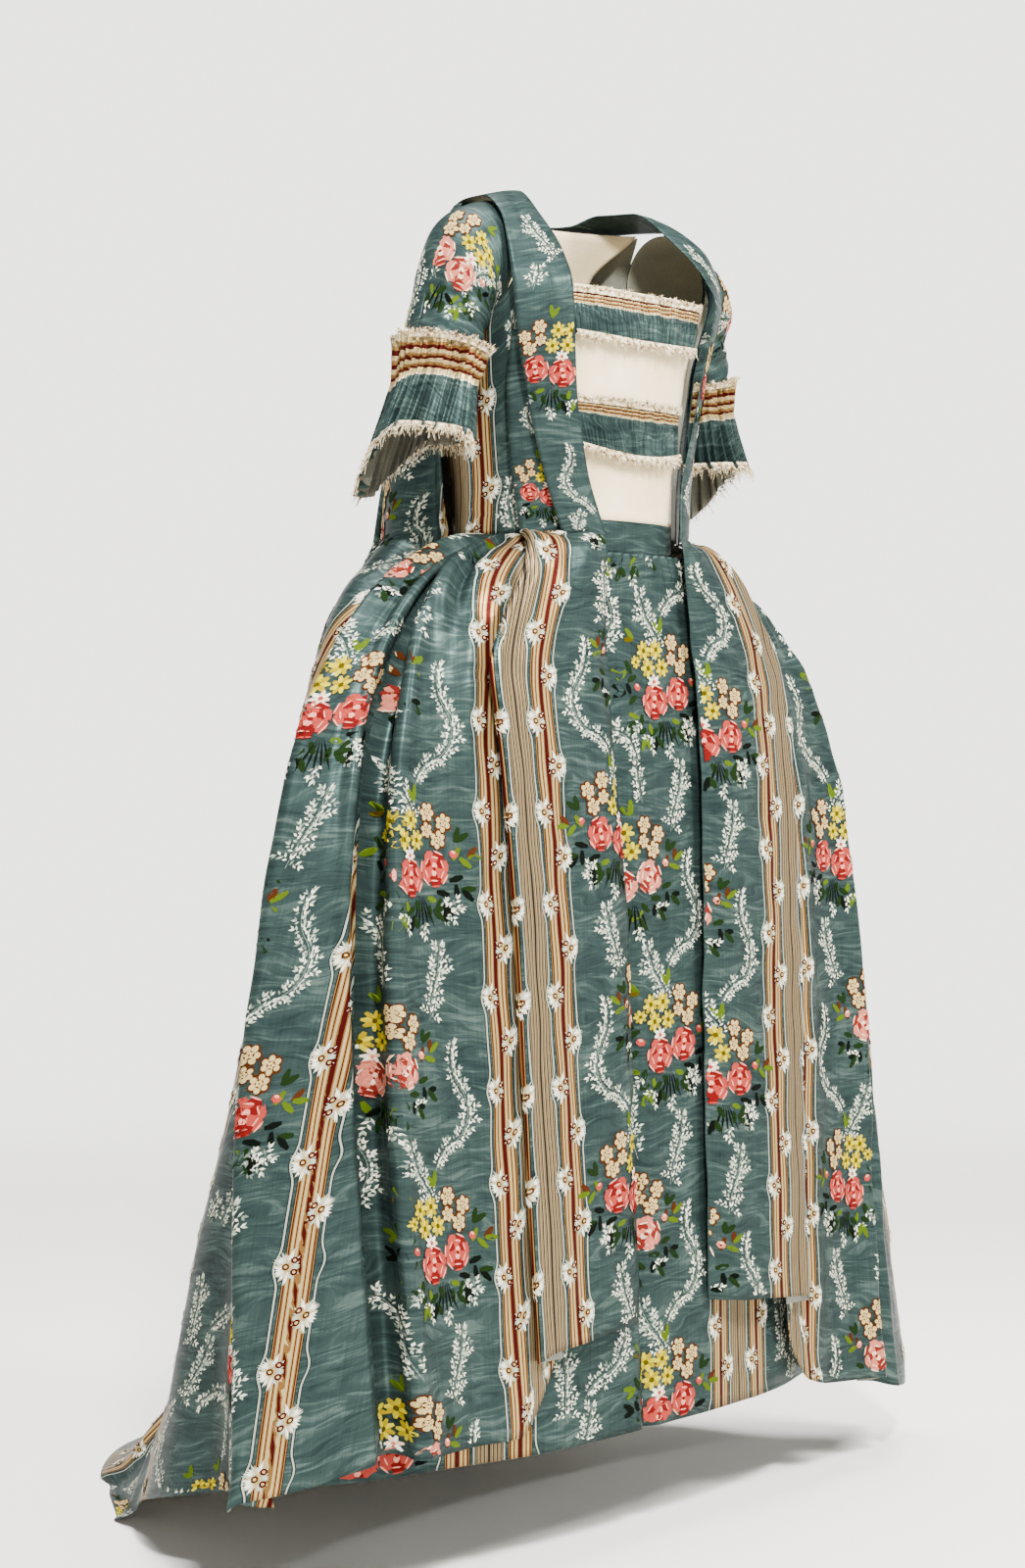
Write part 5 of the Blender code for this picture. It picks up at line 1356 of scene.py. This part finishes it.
# One repeat of the design: across from the middle of the pinstripes, and down from a red posy.
REPEAT_DOWN = 0.365
Woven = namedtuple("Woven", "motif across down turn mirror")
GROUND = (
    Woven("posy_red", 0.128, 0.000, 0.0, 1),
    Woven("posy_pale", 0.186, 0.190, 0.0, 1),
    Woven("plume", 0.112, 0.115, 0.2, 1),
    Woven("sprig", 0.088, 0.050, 0.9, 1),
    Woven("hook", 0.205, 0.070, -0.4, -1),
    Woven("wave", 0.096, 0.240, 0.2, 1),
    Woven("plume", 0.152, 0.300, -0.5, -1),
    Woven("scroll", 0.225, 0.310, 0.5, 1),
    Woven("hook", 0.262, 0.190, 0.4, 1),
    Woven("plume", 0.268, 0.025, 0.3, 1),
    Woven("scroll", 0.308, 0.110, -0.3, -1),
    Woven("sprig", 0.312, 0.225, 0.3, 1),
    Woven("plume", 0.296, 0.330, -0.2, 1),
)
# How far from its middle a posy and a knot can reach, and how far beside its stripe a knot is tied.
POSY_REACH, KNOT_REACH, KNOT_BESIDE = 0.06, 0.02, 0.0105


def weave(name, width, phase, way=1, wide=1.0, lone=False):
    """Fills one width of a sheet with the design. phase is how far down the first red posy lies."""
    work_on(name)
    first, last, loom, fall, _ = sheets[name]["laid"][width]
    low, high = loom[:, first:last + 1].min(), loom[:, first:last + 1].max()
    for m in (0,) if lone else range(-3, 4):
        for k in range(-2, int(fall[-1] / REPEAT_DOWN) + 2):
            for row in GROUND:
                x = way * (m * REPEAT_ACROSS + row.across - (STRIPE_AT if lone else 0.0))
                y = phase + k * REPEAT_DOWN + row.down
                if low - POSY_REACH < x < high + POSY_REACH and -0.1 < y < fall[-1] + 0.1:
                    stitch_down(name, width, row.motif, x, y, row.turn * way, row.mirror * way, 1.0, wide)
        for at in (0.0,) if lone else (STRIPE_AT, -STRIPE_AT):
            for beside in (1, -1):
                x = m * REPEAT_ACROSS + at + beside * KNOT_BESIDE
                outside = beside * (at if at else 1) > 0
                if low - KNOT_REACH < x < high + KNOT_REACH:
                    for k in range(int(fall[-1] / KNOT_EVERY) + 2):
                        stitch_down(name, width, "knot", x, (k if outside else k + 0.5) * KNOT_EVERY, 0.0, beside)


weave("petticoat_front", 0, 0.135, -1, 1.15)
weave("petticoat_back", 0, 0.2)
weave("petticoat_back", 1, 0.0)
for word, side in SIDES:
    weave(f"skirt_front_{word}", 0, -0.035 if side == RIGHT else 0.23 - REPEAT_DOWN, 1, 1.15)
    weave(f"skirt_side_{word}", 0, 0.04)
    weave(f"skirt_side_{word}", 1, 0.30, 1, 1.0, True)
    weave(f"side_body_{word}", 0, 0.10)
for width in range(4):
    weave("back_with_train", width, 0.15 + 0.09 * (width % 2), -1 if width in (0, 3) else 1)

# The small pieces were cut so that posies and sprays fall on them.
Cut = namedtuple("Cut", "piece motif across down turn size")
CUT = (
    Cut("robing", "plume", 0.126, 0.215, 0.3, 0.85),
    Cut("robing", "sprig", 0.140, 0.262, -0.4, 0.9),
    Cut("robing", "posy_red", 0.128, 0.352, 0.0, 0.80),
    Cut("robing", "wave", 0.122, 0.480, 0.1, 0.60),
    Cut("robing", "plume", 0.132, 0.530, -0.5, 0.60),
    Cut("robing", "scroll", 0.128, 0.080, 1.2, 0.6),
    Cut("under_robing", "wave", 0.118, 0.090, 0.1, 0.55),
    Cut("under_robing", "posy_red", 0.120, 0.165, 0.0, 0.55),
    Cut("under_robing", "sprig", 0.118, 0.030, 0.2, 0.8),
)
for word, side in SIDES:
    for row in CUT:
        stitch_down(f"{row.piece}_{word}", 0, row.motif, row.across, row.down, row.turn * side, side, row.size)
    # The place across the loom of each column of the sleeve, read half-way down it.
    sleeve_loom = sheets[f"sleeve_{word}"]["laid"][0].loom[SLEEVE_DOWN // 2]
    for share, down, motif, turn in (
            (0.91, 0.092, "posy_pale", 0.25), (0.80, 0.100, "plume", 0.8), (1.00, 0.110, "sprig", -0.5),
            (0.30, 0.060, "posy_red", 0.0), (0.10, 0.110, "hook", 0.4), (0.58, 0.06, "scroll", 0.2)):
        stitch_down(f"sleeve_{word}", 0, motif, sleeve_loom[int(share * SLEEVE_ACROSS)], down, turn, side, 0.92)
for name, form in works.items():
    finish_work(name, form)

# ---------------------------------------------------------------- what each piece was cut as
# The flat size of each piece before it was pleated, gathered and sewn: width and length of the silk, its area
# where it isn't a rectangle, how it is held, what it rests on and the cloth it is of.
Piece = namedtuple("Piece", "node width length area held rests_on slot")
PIECES = [
    Piece("petticoat_front", 1.00, 0.90, 0.88, "hung", ["petticoat_waistband_cloth"], "figured_silk"),
    Piece("petticoat_back", 0.96, 0.90, 0.83, "hung", ["petticoat_waistband_cloth"], "figured_silk"),
    Piece("petticoat_waistband", 0.76, 0.025, None, "stretched", [], "figured_silk"),
    Piece("back_with_train", 1.30, 1.52, 1.62, "hung", ["back_body_cloth"], "figured_silk"),
    Piece("back_body", 0.24, 0.34, 0.075, "stretched", [], "linen"),
    Piece("stomacher", 0.21, 0.24, None, "stretched", [], "linen"),
    Piece("stomacher_ruffle_upper", 0.25, 0.052, None, "gathered", ["stomacher_cloth"], "striped_trim"),
    Piece("stomacher_ruffle_lower", 0.25, 0.054, None, "gathered", ["stomacher_cloth"], "striped_trim"),
]
for word, side in SIDES:
    PIECES += [
        Piece(f"skirt_front_{word}", 0.21, 0.82, None, "hung", ["petticoat_front_cloth"], "figured_silk"),
        Piece(f"skirt_side_{word}", 0.50, 0.96, 0.36, "hung", ["petticoat_front_cloth"], "figured_silk"),
        Piece(f"side_body_{word}", 0.20, 0.27, 0.046, "stretched", [], "figured_silk"),
        Piece(f"robing_{word}", 0.052, 0.58, None, "folded", ["back_body_cloth"], "figured_silk"),
        Piece(f"under_robing_{word}", 0.046, 0.21, None, "folded", [f"side_body_{word}_cloth"], "figured_silk"),
        Piece(f"sleeve_{word}", 0.28, 0.15, None, "stretched", [f"side_body_{word}_cloth"], "figured_silk"),
        Piece(f"flounce_{word}", 0.50, 0.120, None, "gathered", [f"sleeve_{word}_cloth"], "striped_trim"),
    ]

# ---------------------------------------------------------------- floor, light and camera
# A pale floor that fades out of sight, between pale walls that are darker at the front right. Three soft lights:
# one in front, a smaller one at the front right, and a large one overhead.
FLOOR_RADIUS = 9.0
form = bmesh.new()
bmesh.ops.create_circle(
    form, cap_ends=True, segments=64, radius=FLOOR_RADIUS,
    matrix=Matrix.Translation((0, 0, -WAIST_HEIGHT - OFF_FLOOR)))
paper, tree, shader = new_material("pale_paper")
far = node(tree, "VectorMath", {"operation": "LENGTH"}, in0=node(tree, "TexCoord").outputs["Object"])
shown = remap(tree, far.outputs["Value"], 1.6, 4.2, 1.0, 0.0, interpolation_type="SMOOTHSTEP")
feed(tree, shader, Base_Color=linear(248, 246, 242), Roughness=0.9, Alpha=shown)
meshed("floor", form, paper)

studio = bpy.data.worlds.new("studio")
bpy.context.scene.world = studio
studio.use_nodes = True
tree = studio.node_tree
sky = node(tree, "TexCoord").outputs["Generated"]
wall = node(tree, "VectorMath", {"operation": "DOT_PRODUCT"}, in0=sky, in1=(0.77, 0.64, 0.0))
wall = remap(tree, wall.outputs["Value"], -0.1, 0.85, 0.55, 1.0, interpolation_type="SMOOTHSTEP")
glow = node(tree, "SeparateXYZ", in0=sky).outputs[2]
glow = remap(tree, glow, 0.26, 0.36, 3.7, 0.15, interpolation_type="SMOOTHSTEP")
feed(tree, tree.nodes["Background"], Strength=maths(tree, "MULTIPLY", glow, wall), Color=linear(238, 236, 232))


def soft_light(name, place, aim, size, watts, tint):
    """A square lamp that faces the place it is aimed at."""
    lamp = bpy.data.lights.new(name, "AREA")
    lamp.size = size
    lamp.energy = watts
    lamp.color = tint
    made = in_scene(bpy.data.objects.new(name, lamp))
    made.location = place
    made.rotation_euler = (Vector(aim) - Vector(place)).to_track_quat("-Z", "Y").to_euler()


soft_light("key_light", (0.9, -2.4, 1.9), (0.0, 0.0, 0.1), 1.0, 230.0, (1.0, 0.98, 0.94))
soft_light("side_light", (-2.0, -2.3, 2.2), (0.0, 0.0, 0.25), 0.4, 390.0, (1.0, 0.99, 0.97))
soft_light("top_light", (0.0, 0.4, 3.0), (0.0, 0.1, -1.0), 2.5, 360.0, (1.0, 1.0, 1.0))

lens = bpy.data.cameras.new("camera")
lens.lens = 69.3
lens.sensor_width = 36.0
camera = in_scene(bpy.data.objects.new("camera", lens))
camera.location = (-2.483, -2.019, -0.23)
camera.rotation_euler = (math.radians(90 - 0.48), 0.0, math.radians(-50))
bpy.context.scene.camera = camera
